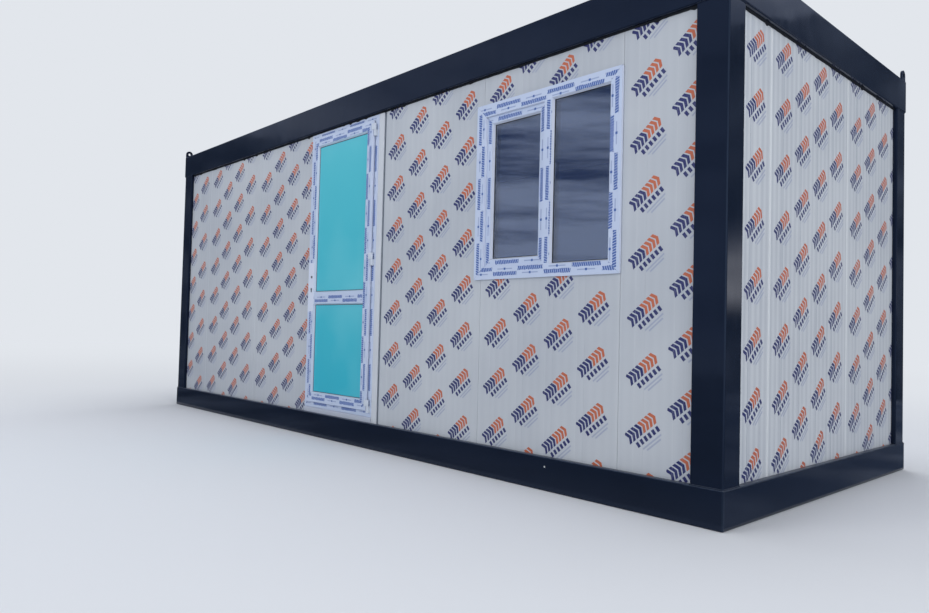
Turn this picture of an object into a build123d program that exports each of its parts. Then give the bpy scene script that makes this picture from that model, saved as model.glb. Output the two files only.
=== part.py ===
"""A portable site cabin: a folded steel frame filled with sandwich panels, with a door and a window.

Millimetres. The origin is the middle of the base, on the ground. X runs along the front wall,
which faces -Y and holds the door and the window. Z is up.
"""

import os
from collections import namedtuple

from build123d import *

Rect = namedtuple("Rect", "left right bottom top")

# The cabin's outside, over the steel frame
LENGTH = 6058.0
WIDTH = 2438.0
FRAME_HEIGHT = 2591.0

# Folded floor and roof rails
RAIL_SHEET = 4.0
RAIL_FOLD_RADIUS = 7.0
FLOOR_RAIL_HEIGHT = 180.0
FLOOR_RAIL_FLANGE = 120.0
FLOOR_RAIL_LIP = 20.0
ROOF_RAIL_HEIGHT = 213.0
ROOF_RAIL_SEAT_FLANGE = 110.0
ROOF_RAIL_TOP_FLANGE = 70.0
ROOF_RAIL_LIP = 30.0

# Corner posts, seen from the front and from the end
POST_FACE = 163.0
POST_END_FACE = 154.0
POST_INSET = 4.0
POST_SHEET = 4.0
POST_FOLD_RADIUS = 9.0

# Sandwich panels
PANEL_RECESS = 30.0
PANEL_THICKNESS = 60.0
PANEL_MODULE = 1000.0
PANEL_TOP_FIT = 0.5
PANEL_END_FIT = 0.3
JOINT_GAP = 1.0
JOINT_CHAMFER = 2.0
TONGUE_WIDTH = 12.0
TONGUE_LENGTH = 10.0
TONGUE_TAPER = 2.0
TONGUE_FIT = 0.5
BAND_FIRST = 118.0
BAND_PITCH = 214.0
BAND_COUNT = 4
BAND_WIDTH = 48.0
BAND_SLOPE = 5.0
BAND_DEPTH = 0.8
BAND_MARGIN = 15.0

# Panel joints: the first along each wall from its left end as seen from outside, and on the
# front wall past the door, the last one from the right end
FRONT_FIRST_JOINT = 616.0
FRONT_LAST_JOINT = 576.0
REAR_FIRST_JOINT = 529.0
END_FIRST_JOINT = 485.0

# Floor
JOIST_COUNT = 5
JOIST_WIDTH = 50.0
JOIST_HEIGHT = 120.0
JOIST_SHEET = 3.0
UNDERFLOOR_SHEET = 1.2
UNDERFLOOR_INSET = 30.0
FLOOR_BOARD = 18.0
FLOOR_COVERING = 2.0
FLOOR_FIT = 1.0
COVERING_INSET = 3.0

# Roof
PURLIN_COUNT = 5
PURLIN_WIDTH = 50.0
PURLIN_HEIGHT = 80.0
PURLIN_SHEET = 3.0
ROOF_SHEET = 1.0
ROOF_SHEET_DROP = 62.0
ROOF_SHEET_INSET = 20.0
ROOF_RIB_PITCH = 250.0
ROOF_RIB_HEIGHT = 18.0
ROOF_RIB_TOP = 25.0
ROOF_RIB_SLOPE = 12.0
CEILING_THICKNESS = 10.0
CEILING_INSET = 60.0

# Lifting eyes
EYE_WIDTH = 68.0
EYE_THICKNESS = 12.0
EYE_BORE_RADIUS = 13.0
EYE_BORE_HEIGHT = 34.0
EYE_INSET = 4.0

# Door, its left edge measured along the front wall
DOOR_LEFT = 2517.0
DOOR_WIDTH = 897.0
SILL_HEIGHT = 40.0
SILL_PROUD = 8.0
SILL_WALL = 3.0
SILL_NOSE = 12.0
EXTRUSION_EDGE_RADIUS = 1.0
DOOR_FRAME_WIDTH = 50.0
DOOR_FRAME_PROUD = 5.0
DOOR_STOP_WIDTH = 20.0
DOOR_STOP_THICKNESS = 10.0
LEAF_REVEAL = 42.0
LEAF_GAP = 5.0
LEAF_FLANGE = 15.0
LEAF_CHAMBER = 12.0
LEAF_DEPTH = 70.0
LEAF_FACE = 78.0
LEAF_MID_RAIL = 103.0
LOWER_LIGHT_HEIGHT = 677.0
LEAF_EDGE_RADIUS = 3.0
FILLER_WIDTH = 60.0
FILLER_PROUD = 4.0
FILLER_GROOVE = 20.0
FILLER_GROOVE_DEPTH = 15.0
FILLER_WALL = 3.0

# Hinges: their middles from the leaf's bottom and top, and the third one's rise over half way
HINGE_FROM_BOTTOM = 32.0
HINGE_FROM_TOP = 74.0
MIDDLE_HINGE_RISE = 57.0
HINGE_LENGTH = 90.0
HINGE_RADIUS = 9.0
HINGE_PIN_RADIUS = 4.0
HINGE_PIN_FIT = 0.4
HINGE_KNUCKLE_GAP = 1.0
HINGE_PLATE = 3.0
HINGE_PLATE_REACH = 34.0
HINGE_EDGE_GAP = 15.0
HINGE_PIN_LENGTH = 34.0

# Window, its right edge measured from the front wall's right end, its top from the roof rail
WINDOW_FROM_RIGHT = 575.0
WINDOW_WIDTH = 1046.0
WINDOW_BELOW_RAIL = 177.0
WINDOW_HEIGHT = 1050.0
WINDOW_PROUD = 15.0
WINDOW_COVER = 26.0
WINDOW_HOLE_FIT = 3.0
WINDOW_MEMBER = 76.0
SASH_LIGHT_WIDTH = 459.0
MULLION_WIDTH = 61.0
SASH_OVERLAP = 7.0
SASH_FIT = 0.4
SASH_DEPTH = 56.0
SASH_FACE = 49.0

# Glazing
PANE_THICKNESS = 24.0
PANE_RECESS = 20.0
PANE_GROOVE = 12.0
PANE_FIT = 0.4
BEAD_SLOPE = 8.0
OPENING_FIT = 0.3

# Heights and depths that follow
PANEL_BOTTOM = FLOOR_RAIL_HEIGHT
ROOF_RAIL_BOTTOM = FRAME_HEIGHT - ROOF_RAIL_HEIGHT
PANEL_TOP = ROOF_RAIL_BOTTOM - PANEL_TOP_FIT
PANEL_INNER = PANEL_RECESS + PANEL_THICKNESS
POST_REACH = POST_INSET + POST_FACE
POST_END_REACH = POST_INSET + POST_END_FACE

# The sides in the order of quarter turns about Z, each with its length and its distance from the middle
SIDES = {
    "front": (LENGTH, WIDTH / 2),
    "right": (WIDTH, LENGTH / 2),
    "rear": (LENGTH, WIDTH / 2),
    "left": (WIDTH, LENGTH / 2),
}


def write_part(piece, label):
    """Labels a finished piece and writes it as one STEP file."""
    piece.part.label = label
    export_step(piece.part, f"parts/{label}.step")


def side_directions(side):
    """Unit vectors of a side: along it to the right as seen from outside, and inward."""
    turn = 90 * list(SIDES).index(side)
    return Vector(1, 0, 0).rotate(Axis.Z, turn), Vector(0, 1, 0).rotate(Axis.Z, turn)


def section_plane(side):
    """Plane across a side at its middle: local x runs inward and local y runs up."""
    _, reach = SIDES[side]
    along, inward = side_directions(side)
    return Plane(origin=inward * -reach, x_dir=inward, z_dir=along)


def plan_plane(side, height):
    """Level plane at the left end of a side as seen from outside: x runs along it, y inward."""
    span, reach = SIDES[side]
    along, inward = side_directions(side)
    corner = inward * -reach - along * (span / 2) + Vector(0, 0, height)
    return Plane(origin=corner, x_dir=along, z_dir=(0, 0, 1))


# Upright plane of the front wall: x runs along it from the left end, y up, and it faces outward
FRONT = Plane(origin=(-LENGTH / 2, -WIDTH / 2, 0), x_dir=(1, 0, 0), z_dir=(0, -1, 0))


def folded_profile(points, sheet, radius):
    """Section of a sheet folded along the points, with the sheet on the right of the path."""
    with BuildSketch() as profile:
        with BuildLine():
            FilletPolyline(*points, radius=radius)
            offset(amount=sheet, side=Side.RIGHT)
        make_face()
    return profile.sketch


def hollow_profile(points, wall, radius):
    """Closed section with rounded folds and an even wall."""
    with BuildSketch() as profile:
        with BuildLine():
            FilletPolyline(*points, radius=radius, close=True)
        make_face()
        offset(amount=-wall, mode=Mode.SUBTRACT)
    return profile.sketch


def grown(rect, by):
    """A rectangle moved outward on all four edges."""
    return Rect(rect.left - by, rect.right + by, rect.bottom - by, rect.top + by)


def slab(rect, outer, inner, mode=Mode.ADD, spread=0.0):
    """Extrudes a front rectangle from one depth to another; spread widens its outer face."""
    width = rect.right - rect.left
    height = rect.top - rect.bottom
    middle = ((rect.left + rect.right) / 2, (rect.bottom + rect.top) / 2)
    with BuildSketch(FRONT.offset(-outer)) as face:
        with Locations(middle):
            Rectangle(width + 2 * spread, height + 2 * spread)
    with BuildSketch(FRONT.offset(-inner)) as back:
        with Locations(middle):
            Rectangle(width, height)
    loft([face.sketch.face(), back.sketch.face()], mode=mode)


def cut_light(daylight, outer, inner):
    """Cuts a glazed opening: sloped beads outside, a groove that holds the pane, beads inside."""
    groove = outer + PANE_RECESS
    slab(daylight, outer, inner, mode=Mode.SUBTRACT)
    slab(daylight, outer, groove, mode=Mode.SUBTRACT, spread=BEAD_SLOPE)
    slab(grown(daylight, PANE_GROOVE), groove, groove + PANE_THICKNESS, mode=Mode.SUBTRACT)


def make_pane(daylight, outer):
    """A pane that sits in its groove with a small clearance all round."""
    start = outer + PANE_RECESS + PANE_FIT
    stop = outer + PANE_RECESS + PANE_THICKNESS - PANE_FIT
    slab(grown(daylight, PANE_GROOVE - PANE_FIT), start, stop)


def make_rail(side, bottom, points, label):
    """A folded rail along one side, mitred at both ends."""
    span, _ = SIDES[side]
    section = section_plane(side)
    with BuildPart() as rail:
        with BuildSketch(section):
            with Locations((0, bottom)):
                add(folded_profile(points, RAIL_SHEET, RAIL_FOLD_RADIUS))
        extrude(amount=span / 2, both=True)
        for end in (1, -1):
            corner = section.origin + section.z_dir * (end * span / 2)
            mitre = Plane(origin=corner, z_dir=section.x_dir + section.z_dir * end)
            split(bisect_by=mitre, keep=Keep.BOTTOM)
    write_part(rail, label)


def floor_rail_points():
    """Path of the floor rail's outer skin, from its bottom flange round to the top flange's lip."""
    return [
        (FLOOR_RAIL_FLANGE, 0),
        (0, 0),
        (0, FLOOR_RAIL_HEIGHT),
        (FLOOR_RAIL_FLANGE, FLOOR_RAIL_HEIGHT),
        (FLOOR_RAIL_FLANGE, FLOOR_RAIL_HEIGHT - FLOOR_RAIL_LIP),
    ]


def roof_rail_points():
    """Path of the roof rail's outer skin, from the flange over the panels round to the top lip."""
    return [
        (ROOF_RAIL_SEAT_FLANGE, 0),
        (0, 0),
        (0, ROOF_RAIL_HEIGHT),
        (ROOF_RAIL_TOP_FLANGE, ROOF_RAIL_HEIGHT),
        (ROOF_RAIL_TOP_FLANGE, ROOF_RAIL_HEIGHT - ROOF_RAIL_LIP),
    ]


def make_post(x_sign, y_sign, label):
    """A folded corner post: two outer faces, two returns and a slanted cover on the room side."""
    half_length = LENGTH / 2
    half_width = WIDTH / 2
    corner_points = [
        (POST_INSET, POST_INSET),
        (POST_REACH, POST_INSET),
        (POST_REACH, PANEL_INNER),
        (PANEL_INNER, POST_END_REACH),
        (POST_INSET, POST_END_REACH),
    ]
    points = [(x_sign * (half_length - u), y_sign * (half_width - v)) for u, v in corner_points]
    with BuildPart() as post:
        with BuildSketch(Plane.XY.offset(PANEL_BOTTOM)):
            add(hollow_profile(points, POST_SHEET, POST_FOLD_RADIUS))
        extrude(amount=ROOF_RAIL_BOTTOM - PANEL_BOTTOM)
    write_part(post, label)


def band_points(start, stop, module_start):
    """Points of the shallow pressed bands on the outer skin between two panel edges."""
    points = []
    for number in range(BAND_COUNT):
        middle = module_start + BAND_FIRST + number * BAND_PITCH
        half = BAND_WIDTH / 2
        if middle - half - BAND_SLOPE < start + BAND_MARGIN:
            continue
        if middle + half + BAND_SLOPE > stop - BAND_MARGIN:
            continue
        points.append((middle - half - BAND_SLOPE, 0))
        points.append((middle - half, BAND_DEPTH))
        points.append((middle + half, BAND_DEPTH))
        points.append((middle + half + BAND_SLOPE, 0))
    return points


def panel_outline(start, stop, module_start, tongue, groove):
    """Plan of a panel: banded outer skin, tongue on its right edge, groove on its left edge."""
    left = start + (JOINT_GAP / 2 if groove else PANEL_END_FIT)
    right = stop - (JOINT_GAP / 2 if tongue else PANEL_END_FIT)
    middle = PANEL_THICKNESS / 2
    root = TONGUE_WIDTH / 2
    tip = root - TONGUE_TAPER
    points = []
    if groove:
        points += [
            (left, middle + root + TONGUE_FIT),
            (left + TONGUE_LENGTH + TONGUE_FIT, middle + tip + TONGUE_FIT),
            (left + TONGUE_LENGTH + TONGUE_FIT, middle - tip - TONGUE_FIT),
            (left, middle - root - TONGUE_FIT),
            (left, JOINT_CHAMFER),
            (left + JOINT_CHAMFER, 0),
        ]
    else:
        points.append((left, 0))
    points += band_points(left, right, module_start)
    if tongue:
        points += [
            (right - JOINT_CHAMFER, 0),
            (right, JOINT_CHAMFER),
            (right, middle - root),
            (right + TONGUE_LENGTH, middle - tip),
            (right + TONGUE_LENGTH, middle + tip),
            (right, middle + root),
        ]
    else:
        points.append((right, 0))
    points.append((right, PANEL_THICKNESS))
    points.append((left, PANEL_THICKNESS))
    return points


def raise_panel(side, start, stop, module_start, tongue, groove):
    """Extrudes one panel of a wall to its full height."""
    with BuildSketch(plan_plane(side, PANEL_BOTTOM)) as plan:
        with Locations((0, PANEL_RECESS)):
            with BuildSketch(mode=Mode.PRIVATE) as outline:
                with BuildLine():
                    Polyline(*panel_outline(start, stop, module_start, tongue, groove), close=True)
                make_face()
            add(outline.sketch)
    extrude(plan.sketch, amount=PANEL_TOP - PANEL_BOTTOM)


def wall_joints(first_joint, start, stop):
    """Panel edges along a wall, one module apart from the first joint."""
    joints = [start]
    place = first_joint
    while place < stop:
        joints.append(place)
        place += PANEL_MODULE
    joints.append(stop)
    return joints


def wall_panels(first_joint, start, stop):
    """What raise_panel needs for each panel of a wall that has no opening."""
    joints = wall_joints(first_joint, start, stop)
    last = len(joints) - 2
    panels = []
    for number in range(last + 1):
        module_start = first_joint + (number - 1) * PANEL_MODULE
        panels.append((joints[number], joints[number + 1], module_start, number < last, number > 0))
    return panels


def floor_outline(inset):
    """Room outline inside the panels, with its corners slanted along the posts' covers."""
    half_x = LENGTH / 2 - PANEL_INNER - inset
    half_y = WIDTH / 2 - PANEL_INNER - inset
    cut_x = POST_REACH - PANEL_INNER
    cut_y = POST_END_REACH - PANEL_INNER
    return [
        (-half_x + cut_x, -half_y),
        (half_x - cut_x, -half_y),
        (half_x, -half_y + cut_y),
        (half_x, half_y - cut_y),
        (half_x - cut_x, half_y),
        (-half_x + cut_x, half_y),
        (-half_x, half_y - cut_y),
        (-half_x, -half_y + cut_y),
    ]


def make_floor_layer(bottom, thickness, inset, label):
    """One layer of the floor inside the room."""
    with BuildPart() as layer:
        with BuildSketch(Plane.XY.offset(bottom)):
            with BuildLine():
                Polyline(*floor_outline(inset), close=True)
            make_face()
        extrude(amount=thickness)
    write_part(layer, label)


def make_cross_members(count, width, height, sheet, reach, bottom, label):
    """Folded channels that span the cabin from front to rear, evenly spaced, in one node."""
    pitch = LENGTH / (count + 1)
    path = [(width, 0), (0, 0), (0, height), (width, height)]
    with BuildPart() as members:
        with BuildSketch(Plane.XZ.offset(reach)) as sections:
            with GridLocations(pitch, 1, count, 1):
                with Locations((-width / 2, bottom)):
                    add(folded_profile(path, sheet, 2 * sheet))
        extrude(sections.sketch, amount=-2 * reach)
    write_part(members, label)


def make_roof_sheet():
    """Ribbed roof sheet, its ribs running from front to rear so that rain leaves by both gutters."""
    half_x = LENGTH / 2 - ROOF_SHEET_INSET
    half_y = WIDTH / 2 - ROOF_SHEET_INSET
    count = int((2 * half_x - ROOF_RIB_PITCH) / ROOF_RIB_PITCH)
    half_top = ROOF_RIB_TOP / 2
    half_foot = half_top + ROOF_RIB_SLOPE
    base = FRAME_HEIGHT - ROOF_SHEET_DROP
    points = [(-half_x, base)]
    for number in range(count):
        middle = (number - (count - 1) / 2) * ROOF_RIB_PITCH
        points.append((middle - half_foot, base))
        points.append((middle - half_top, base + ROOF_RIB_HEIGHT))
        points.append((middle + half_top, base + ROOF_RIB_HEIGHT))
        points.append((middle + half_foot, base))
    points.append((half_x, base))
    with BuildPart() as sheet:
        with BuildSketch(Plane.XZ.offset(half_y)):
            with BuildLine():
                Polyline(*points)
                offset(amount=ROOF_SHEET, side=Side.LEFT, kind=Kind.INTERSECTION)
            make_face()
        extrude(amount=-2 * half_y)
    write_part(sheet, "roof_sheet")


def make_lifting_eye(x_sign, y_sign, label):
    """An upright lug with a rounded head, standing on the end rail beside the corner."""
    start = x_sign * (LENGTH / 2 - EYE_INSET)
    middle = y_sign * (WIDTH / 2 - EYE_WIDTH / 2)
    lug_plane = Plane(origin=(start, middle, FRAME_HEIGHT), x_dir=(0, 1, 0), z_dir=(1, 0, 0))
    with BuildPart() as eye:
        with BuildSketch(lug_plane):
            with Locations((0, EYE_BORE_HEIGHT / 2)):
                Rectangle(EYE_WIDTH, EYE_BORE_HEIGHT)
            with Locations((0, EYE_BORE_HEIGHT)):
                Circle(EYE_WIDTH / 2)
                Circle(EYE_BORE_RADIUS, mode=Mode.SUBTRACT)
        extrude(amount=-x_sign * EYE_THICKNESS)
    write_part(eye, label)


os.makedirs("parts", exist_ok=True)

# Floor frame
for side_name in SIDES:
    make_rail(side_name, 0, floor_rail_points(), f"floor_rail_{side_name}")

joist_reach = WIDTH / 2 - FLOOR_RAIL_FLANGE
joist_bottom = FLOOR_RAIL_HEIGHT - JOIST_HEIGHT
make_cross_members(
    JOIST_COUNT, JOIST_WIDTH, JOIST_HEIGHT, JOIST_SHEET, joist_reach, joist_bottom, "floor_joists"
)

with BuildPart() as underfloor:
    with BuildSketch(Plane.XY.offset(RAIL_SHEET)):
        Rectangle(LENGTH - 2 * UNDERFLOOR_INSET, WIDTH - 2 * UNDERFLOOR_INSET)
    extrude(amount=UNDERFLOOR_SHEET)
write_part(underfloor, "underfloor_sheet")

make_floor_layer(FLOOR_RAIL_HEIGHT, FLOOR_BOARD, FLOOR_FIT, "floor_board")
covering_bottom = FLOOR_RAIL_HEIGHT + FLOOR_BOARD
make_floor_layer(covering_bottom, FLOOR_COVERING, COVERING_INSET, "floor_covering")

# Corner posts
for x_sign, x_name in ((-1, "left"), (1, "right")):
    for y_sign, y_name in ((-1, "front"), (1, "rear")):
        make_post(x_sign, y_sign, f"corner_post_{y_name}_{x_name}")

# Roof frame and cover
for side_name in SIDES:
    make_rail(side_name, ROOF_RAIL_BOTTOM, roof_rail_points(), f"roof_rail_{side_name}")

purlin_reach = WIDTH / 2 - RAIL_SHEET
purlin_bottom = FRAME_HEIGHT - ROOF_SHEET_DROP - PURLIN_HEIGHT
make_cross_members(
    PURLIN_COUNT, PURLIN_WIDTH, PURLIN_HEIGHT, PURLIN_SHEET, purlin_reach, purlin_bottom, "roof_purlins"
)
make_roof_sheet()

with BuildPart() as ceiling:
    with BuildSketch(Plane.XY.offset(ROOF_RAIL_BOTTOM + RAIL_SHEET)):
        Rectangle(LENGTH - 2 * CEILING_INSET, WIDTH - 2 * CEILING_INSET)
    extrude(amount=CEILING_THICKNESS)
write_part(ceiling, "ceiling")

for x_sign, x_name in ((-1, "left"), (1, "right")):
    for y_sign, y_name in ((-1, "front"), (1, "rear")):
        make_lifting_eye(x_sign, y_sign, f"lifting_eye_{y_name}_{x_name}")

# Openings in the front wall
door = Rect(DOOR_LEFT, DOOR_LEFT + DOOR_WIDTH, PANEL_BOTTOM, ROOF_RAIL_BOTTOM)
filler_left = door.right + OPENING_FIT
filler_right = filler_left + FILLER_WIDTH + FILLER_GROOVE
window_right = LENGTH - WINDOW_FROM_RIGHT
window_top = ROOF_RAIL_BOTTOM - WINDOW_BELOW_RAIL
window = Rect(window_right - WINDOW_WIDTH, window_right, window_top - WINDOW_HEIGHT, window_top)
window_body = grown(window, -WINDOW_COVER)
window_hole = grown(window_body, WINDOW_HOLE_FIT)

# Front wall: three panels each side of the door, with the window hole cut through them
before_door = wall_panels(FRONT_FIRST_JOINT, POST_REACH, door.left)
joint_past_door = LENGTH - FRONT_LAST_JOINT - PANEL_MODULE
past_door = wall_panels(joint_past_door, filler_right, LENGTH - POST_REACH)
for number, panel in enumerate(before_door + past_door, start=1):
    left, right = panel[:2]
    with BuildPart() as front_panel:
        raise_panel("front", *panel)
        if right > window_hole.left and left < window_hole.right:
            slab(window_hole, 0, PANEL_INNER + PANEL_THICKNESS, mode=Mode.SUBTRACT)
    write_part(front_panel, f"front_panel_{number}")

# Right end wall, a node for each panel
for number, panel in enumerate(wall_panels(END_FIRST_JOINT, POST_END_REACH, WIDTH - POST_END_REACH), start=1):
    with BuildPart() as end_panel:
        raise_panel("right", *panel)
    write_part(end_panel, f"right_end_panel_{number}")

# Rear and left end walls, a node for each wall
left_first_joint = WIDTH - END_FIRST_JOINT - PANEL_MODULE
PLAIN_WALLS = {
    "rear": wall_panels(REAR_FIRST_JOINT, POST_REACH, LENGTH - POST_REACH),
    "left": wall_panels(left_first_joint, POST_END_REACH, WIDTH - POST_END_REACH),
}
for side_name, panels in PLAIN_WALLS.items():
    with BuildPart() as wall:
        for panel in panels:
            raise_panel(side_name, *panel)
    write_part(wall, f"{side_name}_wall_panels")

# Door sill: a hollow extrusion with a sloped nose, on the floor rail's flange
sill_outer = PANEL_RECESS - SILL_PROUD
sill_points = [
    (sill_outer, PANEL_BOTTOM),
    (PANEL_INNER, PANEL_BOTTOM),
    (PANEL_INNER, PANEL_BOTTOM + SILL_HEIGHT),
    (sill_outer + SILL_NOSE, PANEL_BOTTOM + SILL_HEIGHT),
    (sill_outer, PANEL_BOTTOM + SILL_HEIGHT - SILL_NOSE),
]
door_middle = (door.left + door.right - LENGTH) / 2
sill_plane = Plane(origin=(door_middle, -WIDTH / 2, 0), x_dir=(0, 1, 0), z_dir=(1, 0, 0))
with BuildPart() as door_sill:
    with BuildSketch(sill_plane):
        add(hollow_profile(sill_points, SILL_WALL, EXTRUSION_EDGE_RADIUS))
    extrude(amount=DOOR_WIDTH / 2 - OPENING_FIT, both=True)
write_part(door_sill, "door_sill")

# Door frame: a ring with a stop behind the leaf
frame_outer = PANEL_RECESS - DOOR_FRAME_PROUD
sill_top = PANEL_BOTTOM + SILL_HEIGHT
door_frame_edge = Rect(
    door.left + OPENING_FIT, door.right - OPENING_FIT, sill_top, ROOF_RAIL_BOTTOM - OPENING_FIT
)
frame_clear = grown(door_frame_edge, -DOOR_FRAME_WIDTH)
stop_clear = grown(frame_clear, -DOOR_STOP_WIDTH)
stop_outer = PANEL_INNER - DOOR_STOP_THICKNESS
with BuildPart() as door_frame:
    slab(door_frame_edge, frame_outer, PANEL_INNER)
    slab(frame_clear, frame_outer, stop_outer, mode=Mode.SUBTRACT)
    slab(stop_clear, stop_outer, PANEL_INNER, mode=Mode.SUBTRACT)
write_part(door_frame, "door_frame")

# Door leaf: a flange that covers the frame's edge, a body in the frame, and two glazed lights
leaf_outer = frame_outer - LEAF_GAP - LEAF_FLANGE
leaf_inner = leaf_outer + LEAF_DEPTH
leaf_edge = grown(door_frame_edge, -LEAF_REVEAL)
leaf_body = grown(frame_clear, -LEAF_CHAMBER)
leaf_clear = grown(leaf_edge, -LEAF_FACE)
mid_rail_bottom = leaf_clear.bottom + LOWER_LIGHT_HEIGHT
mid_rail_top = mid_rail_bottom + LEAF_MID_RAIL
upper_light = Rect(leaf_clear.left, leaf_clear.right, mid_rail_top, leaf_clear.top)
lower_light = Rect(leaf_clear.left, leaf_clear.right, leaf_clear.bottom, mid_rail_bottom)
with BuildPart() as door_leaf:
    slab(leaf_edge, leaf_outer, leaf_outer + LEAF_FLANGE)
    outer_face = door_leaf.faces().sort_by(Axis.Y)[0]
    fillet(outer_face.edges(), radius=LEAF_EDGE_RADIUS)
    slab(leaf_body, leaf_outer + LEAF_FLANGE, leaf_inner)
    for light in (upper_light, lower_light):
        cut_light(light, leaf_outer, leaf_inner)
write_part(door_leaf, "door_leaf")

with BuildPart() as door_panes:
    for light in (upper_light, lower_light):
        make_pane(light, leaf_outer)
write_part(door_panes, "door_panes")

# Door hinges: lower knuckles with pins on the frame, upper knuckles on the leaf
hinge_x = leaf_edge.right + HINGE_EDGE_GAP - LENGTH / 2
hinge_depth = frame_outer - LEAF_GAP - HINGE_RADIUS
hinge_y = hinge_depth - WIDTH / 2
half_hinge = HINGE_LENGTH / 2
lowest_hinge = leaf_edge.bottom + HINGE_FROM_BOTTOM
highest_hinge = leaf_edge.top - HINGE_FROM_TOP
middle_hinge = (lowest_hinge + highest_hinge) / 2 + MIDDLE_HINGE_RISE
hinge_middles = (lowest_hinge, middle_hinge, highest_hinge)
knuckle_height = half_hinge - HINGE_KNUCKLE_GAP / 2
with BuildPart() as hinge_frame_halves:
    for height in hinge_middles:
        foot = Plane.XY.offset(height - half_hinge)
        with BuildSketch(foot):
            with Locations((hinge_x, hinge_y)):
                Circle(HINGE_RADIUS)
            with Locations((hinge_x + HINGE_RADIUS / 2, (hinge_y + frame_outer - WIDTH / 2) / 2)):
                Rectangle(HINGE_RADIUS, frame_outer - hinge_depth)
            with Locations((hinge_x + HINGE_PLATE_REACH / 4, frame_outer - WIDTH / 2 - HINGE_PLATE / 2)):
                Rectangle(HINGE_PLATE_REACH / 2, HINGE_PLATE)
        extrude(amount=knuckle_height)
        with BuildSketch(foot.offset(knuckle_height)):
            with Locations((hinge_x, hinge_y)):
                Circle(HINGE_PIN_RADIUS)
        extrude(amount=HINGE_PIN_LENGTH)
write_part(hinge_frame_halves, "door_hinge_frame_halves")

with BuildPart() as hinge_leaf_halves:
    for height in hinge_middles:
        foot = Plane.XY.offset(height + HINGE_KNUCKLE_GAP / 2)
        with BuildSketch(foot):
            with Locations((hinge_x, hinge_y)):
                Circle(HINGE_RADIUS)
            with Locations((hinge_x - HINGE_PLATE_REACH / 2, leaf_outer - WIDTH / 2 - HINGE_PLATE / 2)):
                Rectangle(HINGE_PLATE_REACH, HINGE_PLATE)
        extrude(amount=knuckle_height)
        with BuildSketch(foot):
            with Locations((hinge_x, hinge_y)):
                Circle(HINGE_PIN_RADIUS + HINGE_PIN_FIT)
        extrude(amount=HINGE_PIN_LENGTH, mode=Mode.SUBTRACT)
write_part(hinge_leaf_halves, "door_hinge_leaf_halves")

# Filler strip between the door frame and the next panel, with its dark groove
filler_outer = PANEL_RECESS - FILLER_PROUD
filler_points = [
    (filler_left, filler_outer),
    (filler_left + FILLER_WIDTH, filler_outer),
    (filler_left + FILLER_WIDTH, filler_outer + FILLER_GROOVE_DEPTH),
    (filler_right, filler_outer + FILLER_GROOVE_DEPTH),
    (filler_right, PANEL_INNER),
    (filler_left, PANEL_INNER),
]
with BuildPart() as filler:
    with BuildSketch(plan_plane("front", PANEL_BOTTOM)):
        add(hollow_profile(filler_points, FILLER_WALL, EXTRUSION_EDGE_RADIUS))
    extrude(amount=PANEL_TOP - PANEL_BOTTOM)
write_part(filler, "door_filler_strip")

# Window frame: a cover flange on the wall's face, a body in the hole, and a mullion between the lights
window_outer = PANEL_RECESS - WINDOW_PROUD
window_clear = grown(window, -WINDOW_MEMBER)
mullion_left = window_clear.left + SASH_LIGHT_WIDTH
mullion_right = mullion_left + MULLION_WIDTH
sash_light = Rect(window_clear.left, mullion_left, window_clear.bottom, window_clear.top)
fixed_light = Rect(mullion_right, window_clear.right, window_clear.bottom, window_clear.top)
sash_edge = grown(sash_light, SASH_OVERLAP)
sash_pocket = grown(sash_edge, SASH_FIT)
with BuildPart() as window_frame:
    slab(window, window_outer, PANEL_RECESS)
    slab(window_body, PANEL_RECESS, PANEL_INNER)
    slab(sash_light, window_outer, PANEL_RECESS, mode=Mode.SUBTRACT)
    slab(sash_pocket, PANEL_RECESS, PANEL_INNER, mode=Mode.SUBTRACT)
    cut_light(fixed_light, window_outer, PANEL_INNER)
write_part(window_frame, "window_frame")

sash_outer = PANEL_RECESS + SASH_FIT
sash_inner = sash_outer + SASH_DEPTH
sash_clear = grown(sash_light, -SASH_FACE)
with BuildPart() as window_sash:
    slab(sash_edge, sash_outer, sash_inner)
    cut_light(sash_clear, sash_outer, sash_inner)
write_part(window_sash, "window_sash")

with BuildPart() as sash_glass:
    make_pane(sash_clear, sash_outer)
write_part(sash_glass, "window_sash_glass")

with BuildPart() as fixed_glass:
    make_pane(fixed_light, window_outer)
write_part(fixed_glass, "window_fixed_glass")
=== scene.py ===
# %% [markdown]
# # A portable site cabin
# The cabin is a folded steel frame, sprayed in dark blue enamel, that holds a floor, a recessed roof and
# walls of sandwich panels. It is new: the panels, the door and the window still wear the printed films
# that guard them on the way to the site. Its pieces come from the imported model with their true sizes, so
# this file adds finishes, glass, gaskets, welds, sealant, the lock's ironwork and screws, and never moves
# a piece of the model.

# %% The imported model
import math
import random

import bmesh
import bpy
from mathutils import Matrix, Vector


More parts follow.
